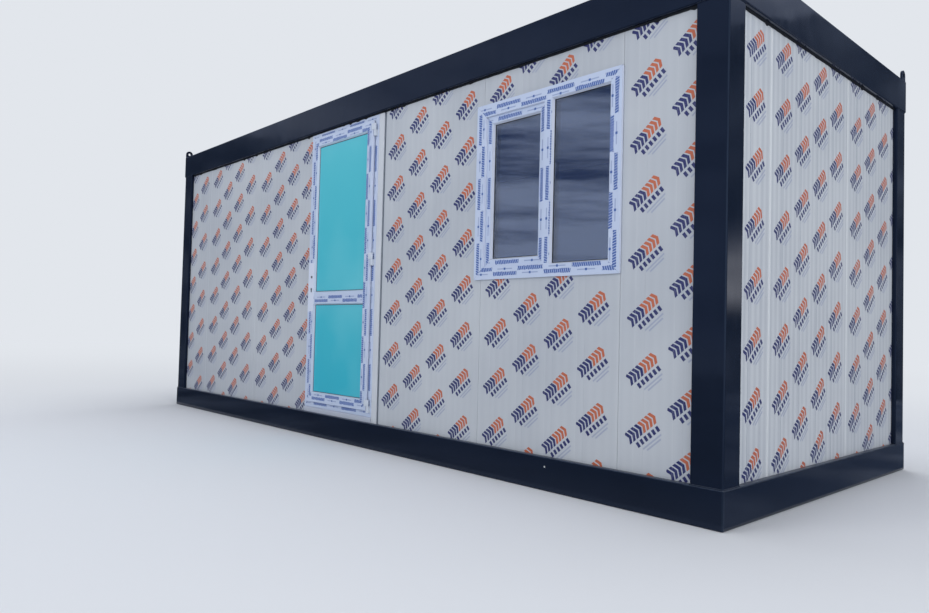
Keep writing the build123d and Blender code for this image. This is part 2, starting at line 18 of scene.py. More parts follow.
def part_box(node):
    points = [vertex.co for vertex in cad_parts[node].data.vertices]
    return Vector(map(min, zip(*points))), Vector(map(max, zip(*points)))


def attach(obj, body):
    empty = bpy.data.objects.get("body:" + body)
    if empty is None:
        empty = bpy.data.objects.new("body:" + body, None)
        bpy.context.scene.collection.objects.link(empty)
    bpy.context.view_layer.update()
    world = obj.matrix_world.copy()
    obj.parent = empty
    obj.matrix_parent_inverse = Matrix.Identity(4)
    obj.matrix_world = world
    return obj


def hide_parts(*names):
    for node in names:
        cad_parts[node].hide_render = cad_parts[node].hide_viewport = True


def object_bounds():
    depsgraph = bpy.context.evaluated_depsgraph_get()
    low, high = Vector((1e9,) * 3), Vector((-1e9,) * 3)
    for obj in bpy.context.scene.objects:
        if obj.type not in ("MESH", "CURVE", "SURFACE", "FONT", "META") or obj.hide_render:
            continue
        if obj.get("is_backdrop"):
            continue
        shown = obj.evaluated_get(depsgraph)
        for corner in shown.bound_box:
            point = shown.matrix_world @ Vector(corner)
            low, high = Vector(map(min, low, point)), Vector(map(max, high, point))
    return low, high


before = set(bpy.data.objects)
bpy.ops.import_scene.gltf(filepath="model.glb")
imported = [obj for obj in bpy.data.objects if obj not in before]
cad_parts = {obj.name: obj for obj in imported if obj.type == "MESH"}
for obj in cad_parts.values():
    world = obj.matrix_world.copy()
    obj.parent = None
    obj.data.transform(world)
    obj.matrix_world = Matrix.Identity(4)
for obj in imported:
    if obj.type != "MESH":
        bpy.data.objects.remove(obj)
cad_low, cad_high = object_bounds()
print("nodes", len(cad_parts), "size", [round(c, 3) for c in cad_high - cad_low])

# %% [markdown]
# ## The camera
# The photograph was taken from beside the cabin's near corner, low down and with a wide lens. A camera can
# be placed by eye, but here its place comes from a fit: the frame's corners are known to the millimetre,
# and the camera that puts them where the photograph shows them is this one. It leans by a degree and a half.

# %% The camera that took the photograph
CAMERA_PLACE = Vector((4.572, -4.211, 0.851))
CAMERA_AZIMUTH = math.radians(-47.12)
CAMERA_ELEVATION = math.radians(1.83)
CAMERA_ROLL = math.radians(1.45)
CAMERA_LENS_MM = 28.12
CAMERA_SENSOR_MM = 36
CAMERA_REACH = 200

forward = Vector((
    math.sin(CAMERA_AZIMUTH) * math.cos(CAMERA_ELEVATION),
    math.cos(CAMERA_AZIMUTH) * math.cos(CAMERA_ELEVATION),
    math.sin(CAMERA_ELEVATION),
))
level_right = Vector((math.cos(CAMERA_AZIMUTH), -math.sin(CAMERA_AZIMUTH), 0))
level_up = level_right.cross(forward)
right = math.cos(CAMERA_ROLL) * level_right + math.sin(CAMERA_ROLL) * level_up
up = math.cos(CAMERA_ROLL) * level_up - math.sin(CAMERA_ROLL) * level_right

camera = bpy.data.objects.new("camera", bpy.data.cameras.new("camera"))
camera.data.sensor_width = CAMERA_SENSOR_MM
camera.data.lens = CAMERA_LENS_MM
camera.data.clip_end = CAMERA_REACH
camera.matrix_world = Matrix.Translation(CAMERA_PLACE) @ Matrix((right, up, -forward)).transposed().to_4x4()
bpy.context.scene.collection.objects.link(camera)
bpy.context.scene.camera = camera
print("camera looks along", [round(c, 3) for c in forward])

# %% [markdown]
# ## Helpers for every finish
# Paint makers and screens give colours as sRGB, and Blender works in linear light, so one function turns a
# hex code into linear values. A second one adds a node, sets it up and wires it, which keeps a long
# pattern readable: each line says what is computed and from what. A third starts a material and hands over
# the place that is being shaded, in metres from the cabin's middle, because every pattern here starts there.

# %% Colours, nodes and new materials
def colour(hex_code):
    """Linear red, green, blue and alpha of an sRGB hex colour."""
    shares = [int(hex_code[place:place + 2], 16) / 255 for place in (1, 3, 5)]
    linear = [share / 12.92 if share <= 0.04045 else ((share + 0.055) / 1.055) ** 2.4 for share in shares]
    return (*linear, 1.0)


def add_node(tree, kind, inputs, output=0, **settings):
    """Adds a shader node, sets or links its inputs, and gives the output that is asked for."""
    node = tree.nodes.new("ShaderNode" + kind)
    for name, value in settings.items():
        setattr(node, name, value)
    for socket, value in inputs.items():
        if isinstance(value, bpy.types.NodeSocket):
            tree.links.new(value, node.inputs[socket])
        else:
            node.inputs[socket].default_value = value
    return node.outputs[output] if node.outputs else node


def new_finish(name):
    """A material, its empty node tree, and the place on the object that is being shaded."""
    material = bpy.data.materials.new(name)
    material.use_nodes = True
    tree = material.node_tree
    tree.nodes.clear()
    return material, tree, add_node(tree, "TexCoord", {}, "Object")


print("middle grey is", round(colour("#808080")[0], 3), "in linear light")

# %% [markdown]
# ## The studio
# The cabin stands in a plain studio: a pale floor, a pale surround and large soft lamps. The surround is
# bright where the camera, a reflection or a glass looks at it, and dimmer as a lamp, so that colours render
# about as they are written. Glass and gloss would look dead under an even surround, so reflections find
# long soft clouds in it.

# %% The surround
SURROUND = colour("#e2e6ec")
SURROUND_STRENGTH = 0.60
MIRRORED_PALE = colour("#d2dcf2")
MIRRORED_CLOUD = colour("#5b6b90")
CLOUD_STRETCH = (2.2, 2.2, 20.0)
CLOUD_THIN = 0.57
CLOUD_THICK = 0.39
HORIZON_HAZE = 0.03

bpy.context.scene.view_settings.view_transform = "Standard"
world = bpy.data.worlds.new("surround")
bpy.context.scene.world = world
world.use_nodes = True
world.node_tree.nodes.clear()
tree = world.node_tree
looked_at = add_node(tree, "LightPath", {}, "Is Camera Ray")
for kind_of_ray in ("Is Glossy Ray", "Is Transmission Ray"):
    ray = add_node(tree, "LightPath", {}, kind_of_ray)
    looked_at = add_node(tree, "Math", {0: looked_at, 1: ray}, operation="MAXIMUM")
strength = add_node(tree, "MapRange", {"Value": looked_at, "To Min": SURROUND_STRENGTH, "To Max": 1.0})
direction = add_node(tree, "TexCoord", {}, "Generated")
stretched = add_node(tree, "Mapping", {"Vector": direction, "Scale": CLOUD_STRETCH})
clouds = add_node(tree, "TexNoise", {"Vector": stretched, "Scale": 1.0, "Detail": 7.0, "Roughness": 0.62})
clouds = add_node(tree, "MapRange", {"Value": clouds, "From Min": CLOUD_THIN, "From Max": CLOUD_THICK})
altitude = add_node(tree, "SeparateXYZ", {0: direction}, "Z")
aloft = add_node(tree, "MapRange", {"Value": altitude, "From Min": 0.0, "From Max": HORIZON_HAZE})
clouds = add_node(tree, "Math", {0: clouds, 1: aloft}, operation="MULTIPLY")
mirrored = add_node(tree, "Mix", {0: clouds, 6: MIRRORED_PALE, 7: MIRRORED_CLOUD}, 2, data_type="RGBA")
by_gloss = add_node(tree, "LightPath", {}, "Is Glossy Ray")
shown = add_node(tree, "Mix", {0: by_gloss, 6: SURROUND, 7: mirrored}, 2, data_type="RGBA")
surround = add_node(tree, "Background", {"Color": shown, "Strength": strength})
add_node(tree, "OutputWorld", {"Surface": surround})
print("surround lights the object at", SURROUND_STRENGTH)

# %% [markdown]
# ### The floor
# A floor only needs to be flat and large, so it is one disc. It is matt and pale near the cabin, where it
# keeps the soft shadow. Further out it turns into the colour of the surround, so no horizon line cuts
# through the picture. In a picture a floor shrinks with distance, so the change follows one over the
# distance.

# %% The floor
FLOOR_RADIUS = 60.0
FLOOR_SIDES = 96
FLOOR_SINK = 0.001
FLOOR_PAINT = colour("#e1e4ea")
FADE_START = 3.4
FADE_END = 26.0

floor_paint, tree, place = new_finish("studio_floor")
distance = add_node(tree, "VectorMath", {0: place}, "Value", operation="LENGTH")
nearness = add_node(tree, "Math", {0: 1.0, 1: distance}, operation="DIVIDE")
far = add_node(tree, "MapRange", {
    "Value": nearness, "From Min": 1 / FADE_START, "From Max": 1 / FADE_END,
}, interpolation_type="SMOOTHSTEP")
matt = add_node(tree, "BsdfDiffuse", {"Color": FLOOR_PAINT})
glow = add_node(tree, "Emission", {"Color": SURROUND})
add_node(tree, "OutputMaterial", {"Surface": add_node(tree, "MixShader", {0: far, 1: matt, 2: glow})})

mesh = bmesh.new()
bmesh.ops.create_circle(mesh, cap_ends=True, radius=FLOOR_RADIUS, segments=FLOOR_SIDES)
floor = bpy.data.objects.new("studio_floor", bpy.data.meshes.new("studio_floor"))
mesh.to_mesh(floor.data)
mesh.free()
floor.location.z = -FLOOR_SINK
floor.data.materials.append(floor_paint)
bpy.context.scene.collection.objects.link(floor)
floor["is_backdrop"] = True
print("floor radius", FLOOR_RADIUS)

# %% [markdown]
# ### The lamps
# Large lamps give soft shadows. One stands to the right, in front of the end wall, one to the left before
# the long wall, one behind, and one hangs above the roof. They are kept out of reflections, so that glass and
# enamel show the calm surround and not four bright discs. A row of the table holds a lamp's place, the spot
# that it faces, its diameter and its watts.

# %% The lamps
LAMPS = {
    "end_wall_lamp": ((11.5, -3.5, 5.0), (2.0, 0.0, 1.2), 6.0, 400),
    "long_wall_lamp": ((-2.5, -12.0, 5.5), (0.0, 0.0, 1.2), 7.0, 420),
    "roof_lamp": ((0.0, 1.0, 9.0), (0.0, 0.0, 0.0), 7.0, 260),
    "rear_lamp": ((-4.0, 11.0, 5.5), (0.0, 0.0, 1.2), 7.0, 300),
}
for name, (lamp_place, target, size, watts) in LAMPS.items():
    lamp = bpy.data.objects.new(name, bpy.data.lights.new(name, "AREA"))
    lamp.data.shape = "DISK"
    lamp.data.size = size
    lamp.data.energy = watts
    lamp.location = lamp_place
    lamp.rotation_euler = (Vector(target) - Vector(lamp_place)).to_track_quat("-Z", "Y").to_euler()
    lamp.visible_glossy = False
    lamp.visible_transmission = False
    bpy.context.scene.collection.objects.link(lamp)
print("lamps", len(LAMPS))

# %% [markdown]
# ### Cards for the gloss
# Seen at a low angle, glossy paint is nearly a mirror, and a pale room would turn the dark frame grey where
# the camera looks along it. Photographers stand a dark card where the gloss mirrors it. One stands beyond
# the end wall and one to the left of the long wall, and one lies on the floor before either wall. The one
# that lies before the end wall is slate grey, so that the rail at its foot stays a little lighter than
# the front one. Only reflections see them. A row of the table holds a card's middle, the spot that it faces,
# its width and depth, and its paint.

# %% The cards
CARD_CLOUD_MM = 1111.0
CARD_CLOUD_DEEP = 0.42
CARD_CLOUD_PALE = 0.70


def card_paint(name, deep, pale):
    """Two tones in slow clouds, for a card that only reflections see."""
    material, tree, place = new_finish(name)
    cloud = add_node(tree, "TexNoise", {"Vector": place, "Scale": 1000 / CARD_CLOUD_MM, "Detail": 3.0})
    cloud = add_node(tree, "MapRange", {
        "Value": cloud, "From Min": CARD_CLOUD_DEEP, "From Max": CARD_CLOUD_PALE,
    })
    felt = add_node(tree, "Mix", {0: cloud, 6: deep, 7: pale}, 2, data_type="RGBA")
    add_node(tree, "OutputMaterial", {"Surface": add_node(tree, "Emission", {"Color": felt})})
    return material


def add_card(name, middle, faced, width, depth, paint):
    """A sheet of the studio that stands or lies at a place, faces another, and shows in reflections only."""
    mesh = bmesh.new()
    bmesh.ops.create_grid(mesh, x_segments=1, y_segments=1, size=0.5)
    bmesh.ops.scale(mesh, verts=mesh.verts, vec=(width, depth, 1.0))
    card = bpy.data.objects.new(name, bpy.data.meshes.new(name))
    mesh.to_mesh(card.data)
    mesh.free()
    card.location = middle
    card.rotation_euler = (Vector(faced) - Vector(middle)).to_track_quat("Z", "Y").to_euler()
    card.data.materials.append(paint)
    card.visible_camera = False
    card.visible_diffuse = False
    card.visible_transmission = False
    card.visible_shadow = False
    bpy.context.scene.collection.objects.link(card)
    card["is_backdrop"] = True
    print(name, width, "by", depth, "m")


dark_paint = card_paint("studio_card", colour("#232b3a"), colour("#7d889e"))
slate_paint = card_paint("studio_slate_card", colour("#45526b"), colour("#8791a6"))
CARDS = {
    "standing_card": ((6.6, 6.2, 2.6), (3.0, 0.0, 2.6), 9.0, 6.0, dark_paint),
    "lying_card": ((7.55, 2.7, 0.004), (7.55, 2.7, 1.0), 9.0, 10.0, slate_paint),
    "front_card": ((-13.0, -6.0, 2.6), (-3.0, -1.2, 1.6), 10.0, 6.0, dark_paint),
    "front_lying_card": ((-5.5, -6.3, 0.004), (-5.5, -6.3, 1.0), 17.0, 10.0, dark_paint),
}
for name, card in CARDS.items():
    add_card(name, *card)

# %% [markdown]
# Dark cards alone would leave the paint flat, and the near post has one long soft highlight. A small light
# with soft edges hangs before the standing card, where that post finds it. It is a card that glows, and it
# turns clear towards its sides, its top and its foot. The fades are counted in its width and its height.

# %% The soft light
SOFT_LIGHT_PLACE = (6.90, 5.92, 1.86)
SOFT_LIGHT_FACED = (3.0, 0.0, 1.86)
SOFT_LIGHT_WIDTH = 2.4
SOFT_LIGHT_HEIGHT = 1.5
SOFT_LIGHT_GLOW = colour("#e3e2e4")
SOFT_LIGHT_STRENGTH = 2.6
SOFT_LIGHT_CLOUD_MM = 455.0
SIDE_FADE = (0.50, 0.25)
FOOT_FADE = (-0.50, -0.25)
TOP_FADE = (0.50, -0.20)

soft_light_paint, tree, place = new_finish("studio_soft_light")
off_side = add_node(tree, "Math", {0: add_node(tree, "SeparateXYZ", {0: place}, "X")}, operation="ABSOLUTE")
rise = add_node(tree, "SeparateXYZ", {0: place}, "Y")
fades = []
for value, reach, fade in (
    (rise, SOFT_LIGHT_HEIGHT, FOOT_FADE),
    (rise, SOFT_LIGHT_HEIGHT, TOP_FADE),
    (off_side, SOFT_LIGHT_WIDTH, SIDE_FADE),
):
    fades.append(add_node(tree, "MapRange", {
        "Value": value, "From Min": fade[0] * reach, "From Max": fade[1] * reach,
    }, interpolation_type="SMOOTHSTEP"))
cloud = add_node(tree, "TexNoise", {"Vector": place, "Scale": 1000 / SOFT_LIGHT_CLOUD_MM, "Detail": 3.0})
cloud = add_node(tree, "MapRange", {"Value": cloud, "From Min": 0.35, "From Max": 0.65, "To Min": 0.45})
shine = fades[0]
for fade in (*fades[1:], cloud):
    shine = add_node(tree, "Math", {0: shine, 1: fade}, operation="MULTIPLY")
glow = add_node(tree, "Emission", {"Color": SOFT_LIGHT_GLOW, "Strength": SOFT_LIGHT_STRENGTH})
clear = add_node(tree, "BsdfTransparent", {})
add_node(tree, "OutputMaterial", {"Surface": add_node(tree, "MixShader", {0: shine, 1: clear, 2: glow})})
add_card(
    "soft_light", SOFT_LIGHT_PLACE, SOFT_LIGHT_FACED, SOFT_LIGHT_WIDTH, SOFT_LIGHT_HEIGHT, soft_light_paint
)

# %% [markdown]
# ## Enamel on the steel frame
# The rails and posts are sheet steel, folded and then sprayed with a dark blue alkyd enamel. Sprayed enamel
# gives the eye three things: a deep colour, a wet gloss that shows the sheet's slight waves, and a fine
# orange peel. One flat blue would look like plastic, so the pigment drifts in slow clouds. Dust settles on
# whatever faces up and splashes along the foot, and it is mixed over the blue there. Real grit is finer than
# a pixel, so it is drawn as coarse as it needs to show.

# %% Pigment and dust of the enamel
ENAMEL_DEEP = colour("#0e1522")
ENAMEL_LIGHT = colour("#172031")
DUST = colour("#6d7583")
PIGMENT_CLOUD_MM = 770.0
GRIT_MM = 3.5
LEDGE_DUST = 0.55
FOOT_DUST = 0.06
FOOT_DUST_TOP = 0.16
DUST_EVERYWHERE = 0.012

enamel, tree, place = new_finish("sprayed_alkyd_enamel")
cloud = add_node(tree, "TexNoise", {"Vector": place, "Scale": 1000 / PIGMENT_CLOUD_MM, "Detail": 4.0})
blue = add_node(tree, "Mix", {0: cloud, 6: ENAMEL_DEEP, 7: ENAMEL_LIGHT}, 2, data_type="RGBA")
specks = add_node(tree, "TexNoise", {
    "Vector": place, "Scale": 1000 / GRIT_MM, "Detail": 5.0, "Roughness": 0.7,
})
facing_up = add_node(tree, "SeparateXYZ", {0: add_node(tree, "NewGeometry", {}, "Normal")}, "Z")
ledge = add_node(tree, "MapRange", {
    "Value": facing_up, "From Min": 0.3, "From Max": 0.9, "To Max": LEDGE_DUST,
})
height = add_node(tree, "SeparateXYZ", {0: place}, "Z")
foot = add_node(tree, "MapRange", {
    "Value": height, "From Min": FOOT_DUST_TOP, "From Max": 0.0, "To Max": FOOT_DUST,
})
settled = add_node(tree, "Math", {0: ledge, 1: foot}, operation="MAXIMUM")
grit = add_node(tree, "MapRange", {"Value": specks, "From Min": 0.30, "From Max": 0.70, "To Min": 0.35})
dust = add_node(tree, "Math", {0: settled, 1: grit}, operation="MULTIPLY")
film_of_dust = add_node(tree, "Math", {0: dust, 1: DUST_EVERYWHERE}, operation="ADD")
surface = add_node(tree, "Mix", {0: film_of_dust, 6: blue, 7: DUST}, 2, data_type="RGBA")
print("grit drawn", GRIT_MM, "mm wide")

# %% [markdown]
# ### Painted highlight on the corners, and a chip
# The folds of the frame catch a thin highlight, and it is painted in a lighter blue on the cabin's four
# upright corners and along the edge of the foot's ledge. A bevel shader could find edges, but it would find
# all of them. So the highlighted places are picked by their distance from the cabin's middle and their
# height, and tall streaks break them up. One chip on the front floor rail shows bare steel, with a ragged
# rim.

# %% Painted highlight and a chip on the enamel
ENAMEL_PAINTED_HIGHLIGHT = colour("#3b4656")
BARE_STEEL = colour("#c4c8cd")
STREAK_WIDTH_MM = 45.5
STREAK_HEIGHT_MM = 1250.0
FOLD_REACH = 0.0095
LEDGE_EDGE = 0.1765
LEDGE_HIGHLIGHT_HALF = 0.0035
CHIP = (2.011, -1.219, 0.128)
CHIP_RADIUS = 0.008
CHIP_RAGGED = 0.006

tall = add_node(tree, "Mapping", {
    "Vector": place, "Scale": (1000 / STREAK_WIDTH_MM, 1000 / STREAK_WIDTH_MM, 1000 / STREAK_HEIGHT_MM),
})
streaks = add_node(tree, "TexNoise", {"Vector": tall, "Scale": 1.0, "Detail": 3.0})
outermost = []
for axis, outer in (("X", cad_high.x), ("Y", cad_high.y)):
    off_middle = add_node(tree, "SeparateXYZ", {0: place}, axis)
    off_middle = add_node(tree, "Math", {0: off_middle}, operation="ABSOLUTE")
    outermost.append(add_node(tree, "Math", {0: off_middle, 1: outer - FOLD_REACH}, operation="GREATER_THAN"))
on_corner = add_node(tree, "Math", {0: outermost[0], 1: outermost[1]}, operation="MULTIPLY")
on_face = add_node(tree, "Math", {0: outermost[0], 1: outermost[1]}, operation="MAXIMUM")
at_ledge = add_node(tree, "Math", {0: height, 1: LEDGE_EDGE, 2: LEDGE_HIGHLIGHT_HALF}, operation="COMPARE")
at_ledge = add_node(tree, "Math", {0: at_ledge, 1: on_face}, operation="MULTIPLY")
# Painted highlight: a lighter blue along the corner folds and the ledge's edge, where they catch the light.
painted_highlight = add_node(tree, "Math", {0: on_corner, 1: at_ledge}, operation="MAXIMUM")
highlight_streaks = add_node(tree, "MapRange", {
    "Value": streaks, "From Min": 0.35, "From Max": 0.6, "To Min": 0.05, "To Max": 0.32,
})
painted_highlight = add_node(tree, "Math", {0: painted_highlight, 1: highlight_streaks}, operation="MULTIPLY")
surface = add_node(tree, "Mix", {0: painted_highlight, 6: surface, 7: ENAMEL_PAINTED_HIGHLIGHT}, 2, data_type="RGBA")
off_chip = add_node(tree, "VectorMath", {0: place, 1: CHIP}, "Value", operation="DISTANCE")
off_chip = add_node(tree, "Math", {0: specks, 1: CHIP_RAGGED, 2: off_chip}, operation="MULTIPLY_ADD")
chipped = add_node(tree, "Math", {0: off_chip, 1: CHIP_RADIUS}, operation="LESS_THAN")
surface = add_node(tree, "Mix", {0: chipped, 6: surface, 7: BARE_STEEL}, 2, data_type="RGBA")
print("chip at", CHIP)

# %% [markdown]
# ### Gloss, peel and waves
# The waves of the sheet and the peel of the spray are bump, because both are far thinner than the sheet. A
# Principled shader takes all of it. Dust and streaks make the gloss uneven. The photograph shows the gloss
# dark, in evening light, so the mirror is held back here and tinted blue.

# %% Shader of the enamel
ENAMEL_MIRROR = colour("#92a8d8")
PEEL_MM = 3.0
PEEL_DEPTH = 0.0001
SHEET_WAVE_MM = 280.0
SHEET_WAVE_DEPTH = 0.004

gloss = add_node(tree, "MapRange", {
    "Value": streaks, "From Min": 0.3, "From Max": 0.7, "To Min": 0.05, "To Max": 0.12,
})
gloss = add_node(tree, "Math", {0: dust, 1: 0.7, 2: gloss}, operation="MULTIPLY_ADD")
peel = add_node(tree, "TexNoise", {"Vector": place, "Scale": 1000 / PEEL_MM, "Detail": 1.0})
waves = add_node(tree, "TexNoise", {"Vector": place, "Scale": 1000 / SHEET_WAVE_MM, "Detail": 1.0})
bump = add_node(tree, "Bump", {"Height": waves, "Strength": 0.5, "Distance": SHEET_WAVE_DEPTH})
bump = add_node(tree, "Bump", {"Height": peel, "Strength": 0.12, "Distance": PEEL_DEPTH, "Normal": bump})
shader = add_node(tree, "BsdfPrincipled", {
    "Base Color": surface, "Roughness": gloss, "Normal": bump, "IOR": 1.5, "Specular IOR Level": 0.27,
    "Specular Tint": ENAMEL_MIRROR,
})
add_node(tree, "OutputMaterial", {"Surface": shader})
print("enamel peel", PEEL_MM, "mm, sheet waves", SHEET_WAVE_MM, "mm")

# %% [markdown]
# ## Printed film on the wall panels
# A sandwich panel is a foam core between two sheets of coated steel. Its outer sheet leaves the factory
# under a thin polyethylene film, printed all over with a slanting mark in navy and orange. The mark here
# is a plain one of chevrons and dashes in a half-drop layout. The print could be an image, but an image
# blurs when it is seen close, so it is computed: each point finds its panel, its column and its row, and
# turns into the mark's own slanting coordinates. Each panel starts its rows at a height of its own, as
# panels from different sheets do.

# %% A point finds its mark
PANEL_MODULE = 1.0
COLUMN_PITCH = 0.232
ROW_PITCH = 0.285
FIRST_COLUMN = 0.044
PRINTED_COLUMNS = 4
SLANT = math.radians(40)


def find_mark(tree, across, height):
    """Places along and up the nearest mark, and a mask of the printed columns; across counts panels."""
    panel = add_node(tree, "Math", {0: across}, operation="FLOOR")
    in_panel = add_node(tree, "Math", {0: across}, operation="FRACT")
    column_place = add_node(tree, "Math", {
        0: in_panel, 1: PANEL_MODULE / COLUMN_PITCH, 2: -FIRST_COLUMN / COLUMN_PITCH,
    }, operation="MULTIPLY_ADD")
    column = add_node(tree, "Math", {0: column_place}, operation="FLOOR")
    in_column = add_node(tree, "Math", {0: column_place}, operation="FRACT")
    shift = add_node(tree, "TexWhiteNoise", {"W": panel}, "Value", noise_dimensions="1D")
    shift = add_node(tree, "Math", {0: column, 1: 0.5, 2: shift}, operation="MULTIPLY_ADD")
    row_place = add_node(tree, "Math", {0: height, 1: 1 / ROW_PITCH, 2: shift}, operation="MULTIPLY_ADD")
    in_row = add_node(tree, "Math", {0: row_place}, operation="FRACT")
    cell = add_node(tree, "CombineXYZ", {0: in_column, 1: in_row})
    cell = add_node(tree, "VectorMath", {0: cell, 1: (0.5, 0.5, 0.0)}, operation="SUBTRACT")
    cell = add_node(tree, "VectorMath", {0: cell, 1: (COLUMN_PITCH, ROW_PITCH, 0.0)}, operation="MULTIPLY")
    mark = add_node(tree, "VectorRotate", {"Vector": cell, "Angle": -SLANT}, rotation_type="Z_AXIS")
    along = add_node(tree, "SeparateXYZ", {0: mark}, "X")
    upward = add_node(tree, "SeparateXYZ", {0: mark}, "Y")
    is_column = add_node(tree, "Math", {
        0: column, 1: (PRINTED_COLUMNS - 1) / 2, 2: PRINTED_COLUMNS / 2,
    }, operation="COMPARE")
    return along, upward, is_column


print("marks", COLUMN_PITCH, "by", ROW_PITCH, "m apart, leaning", round(math.degrees(SLANT)), "degrees")

# %% [markdown]
# ### Strokes of the mark
# A stroke is a question with a yes or a no, and a yes is 1. Folding the height about the middle of a line
# bends straight bars into chevrons. The row of chevrons starts in navy and ends in orange, a row of navy
# dashes runs below, and two thin rules close the mark. Each mask is cut to its length and height by
# multiplying it with the others, and its length is trimmed by a hair, so that no sliver of the next
# stroke shows.

# %% Where the ink lies on the film
CHEVRONS = 4
CHEVRON_PITCH = 0.0245
CHEVRON_SHARE = 0.70
CHEVRON_LEAN = 0.50
CHEVRON_RISE = 0.028
CHEVRON_HALF_HEIGHT = 0.030
ORANGE_FROM = -0.1
DASHES = 3
DASH_PITCH = 0.0275
DASH_SHARE = 0.60
DASH_DROP = 0.027
DASH_HALF_HEIGHT = 0.0135
RULES = ((0.058, 0.064), (0.074, 0.048))
RULE_HALF = 0.0042
END_TRIM = 0.01


def chevron_ink(tree, along, upward, is_column):
    """Masks of all the chevrons, and of the orange ones among them."""
    off_middle = add_node(tree, "Math", {0: upward, 1: CHEVRON_RISE}, operation="SUBTRACT")
    off_middle = add_node(tree, "Math", {0: off_middle}, operation="ABSOLUTE")
    lean = add_node(tree, "Math", {0: off_middle, 1: CHEVRON_LEAN, 2: along}, operation="MULTIPLY_ADD")
    stroke = add_node(tree, "Math", {0: lean, 1: CHEVRON_PITCH}, operation="DIVIDE")
    stroke = add_node(tree, "Math", {0: stroke}, operation="FRACT")
    chevrons = add_node(tree, "Math", {0: stroke, 1: CHEVRON_SHARE}, operation="LESS_THAN")
    in_length = add_node(tree, "Math", {
        0: lean, 1: 0.0, 2: (CHEVRONS - END_TRIM) * CHEVRON_PITCH,
    }, operation="COMPARE")
    in_height = add_node(tree, "Math", {0: off_middle, 1: CHEVRON_HALF_HEIGHT}, operation="LESS_THAN")
    for limit in (in_length, in_height, is_column):
        chevrons = add_node(tree, "Math", {0: chevrons, 1: limit}, operation="MULTIPLY")
    far_end = add_node(tree, "Math", {0: lean, 1: ORANGE_FROM * CHEVRON_PITCH}, operation="GREATER_THAN")
    orange = add_node(tree, "Math", {0: chevrons, 1: far_end}, operation="MULTIPLY")
    return chevrons, orange


def dash_ink(tree, along, upward, is_column):
    """Mask of the row of dashes under the chevrons."""
    dashes = add_node(tree, "Math", {0: along, 1: DASH_PITCH}, operation="DIVIDE")
    dashes = add_node(tree, "Math", {0: dashes}, operation="FRACT")
    dashes = add_node(tree, "Math", {0: dashes, 1: DASH_SHARE}, operation="LESS_THAN")
    in_length = add_node(tree, "Math", {
        0: along, 1: 0.0, 2: (DASHES - END_TRIM) * DASH_PITCH,
    }, operation="COMPARE")
    in_height = add_node(tree, "Math", {0: upward, 1: -DASH_DROP, 2: DASH_HALF_HEIGHT}, operation="COMPARE")
    for limit in (in_length, in_height, is_column):
        dashes = add_node(tree, "Math", {0: dashes, 1: limit}, operation="MULTIPLY")
    return dashes


def rule_ink(tree, along, upward, is_column):
    """Mask of the thin rules that close the mark."""
    rules = 0.0
    for drop, half_length in RULES:
        rule = add_node(tree, "Math", {0: upward, 1: -drop, 2: RULE_HALF}, operation="COMPARE")
        in_length = add_node(tree, "Math", {0: along, 1: 0.0, 2: half_length}, operation="COMPARE")
        rule = add_node(tree, "Math", {0: rule, 1: in_length}, operation="MULTIPLY")
        rules = add_node(tree, "Math", {0: rules, 1: rule}, operation="MAXIMUM")
    return add_node(tree, "Math", {0: rules, 1: is_column}, operation="MULTIPLY")


def film_ink(tree, across, height):
    """Masks of the navy strokes, the orange strokes and the thin rules; across is counted in panels."""
    mark = find_mark(tree, across, height)
    chevrons, orange = chevron_ink(tree, *mark)
    navy = add_node(tree, "Math", {0: chevrons, 1: dash_ink(tree, *mark)}, operation="MAXIMUM")
    return navy, orange, rule_ink(tree, *mark)


print("a row of chevrons is", round(2 * CHEVRONS * CHEVRON_PITCH, 3), "m long")

# %% [markdown]
# ### The film and its print
# Polyethylene film is soft plastic: it gives a dull gloss over the steel's own. Its tone is slow clouds, with
# stripes of painted shade and painted highlight over the faint flutes that rolling left in the sheet under
# it.
# The mark is printed thinly and rubbed in the stack, so the pale steel shows through the ink in fine specks.

# %% Film, painted flute shading and ink
FILM = colour("#c3c8ce")
FILM_CLOUD_AND_FLUTE_SHADE = colour("#adb3bc")
FILM_NAVY = colour("#1f2562")
FILM_ORANGE = colour("#bd6647")
FILM_RULE = colour("#7f8bb0")
RULE_STRENGTH = 0.50
FLUTE_PITCH = 0.054
PAINTED_FLUTE_SHARE = 0.6
FLUTE_UNEVEN_MM = 71.4
INK_SPECK_MM = 6.25
INK_THIN = 0.84
INK_FULL = 0.99


def film_tone(tree, run, cloud, painted_lines_and_overlap_strength):
    """Colour of the bare film: slow clouds, with painted shade and highlight over uneven flutes of the sheet
    below.
    """
    # Painted shade and highlight: the tone rises and falls across the flutes, as light would on their slopes.
    flute_shading = add_node(tree, "Math", {0: run, 1: math.tau / FLUTE_PITCH}, operation="MULTIPLY")
    flute_shading = add_node(tree, "Math", {0: flute_shading}, operation="SINE")
    uneven = add_node(tree, "TexNoise", {
        "W": run, "Scale": 1000 / FLUTE_UNEVEN_MM, "Detail": 2.0,
    }, noise_dimensions="1D")
    flute_shading = add_node(tree, "Math", {0: flute_shading, 1: 0.5, 2: uneven}, operation="MULTIPLY_ADD")
    tone = add_node(tree, "Math", {
        0: flute_shading, 1: PAINTED_FLUTE_SHARE * painted_lines_and_overlap_strength, 2: cloud,
    }, operation="MULTIPLY_ADD")
    tone = add_node(tree, "MapRange", {"Value": tone, "From Min": 0.3, "From Max": 0.9})
    return add_node(tree, "Mix", {0: tone, 6: FILM_CLOUD_AND_FLUTE_SHADE, 7: FILM}, 2, data_type="RGBA")


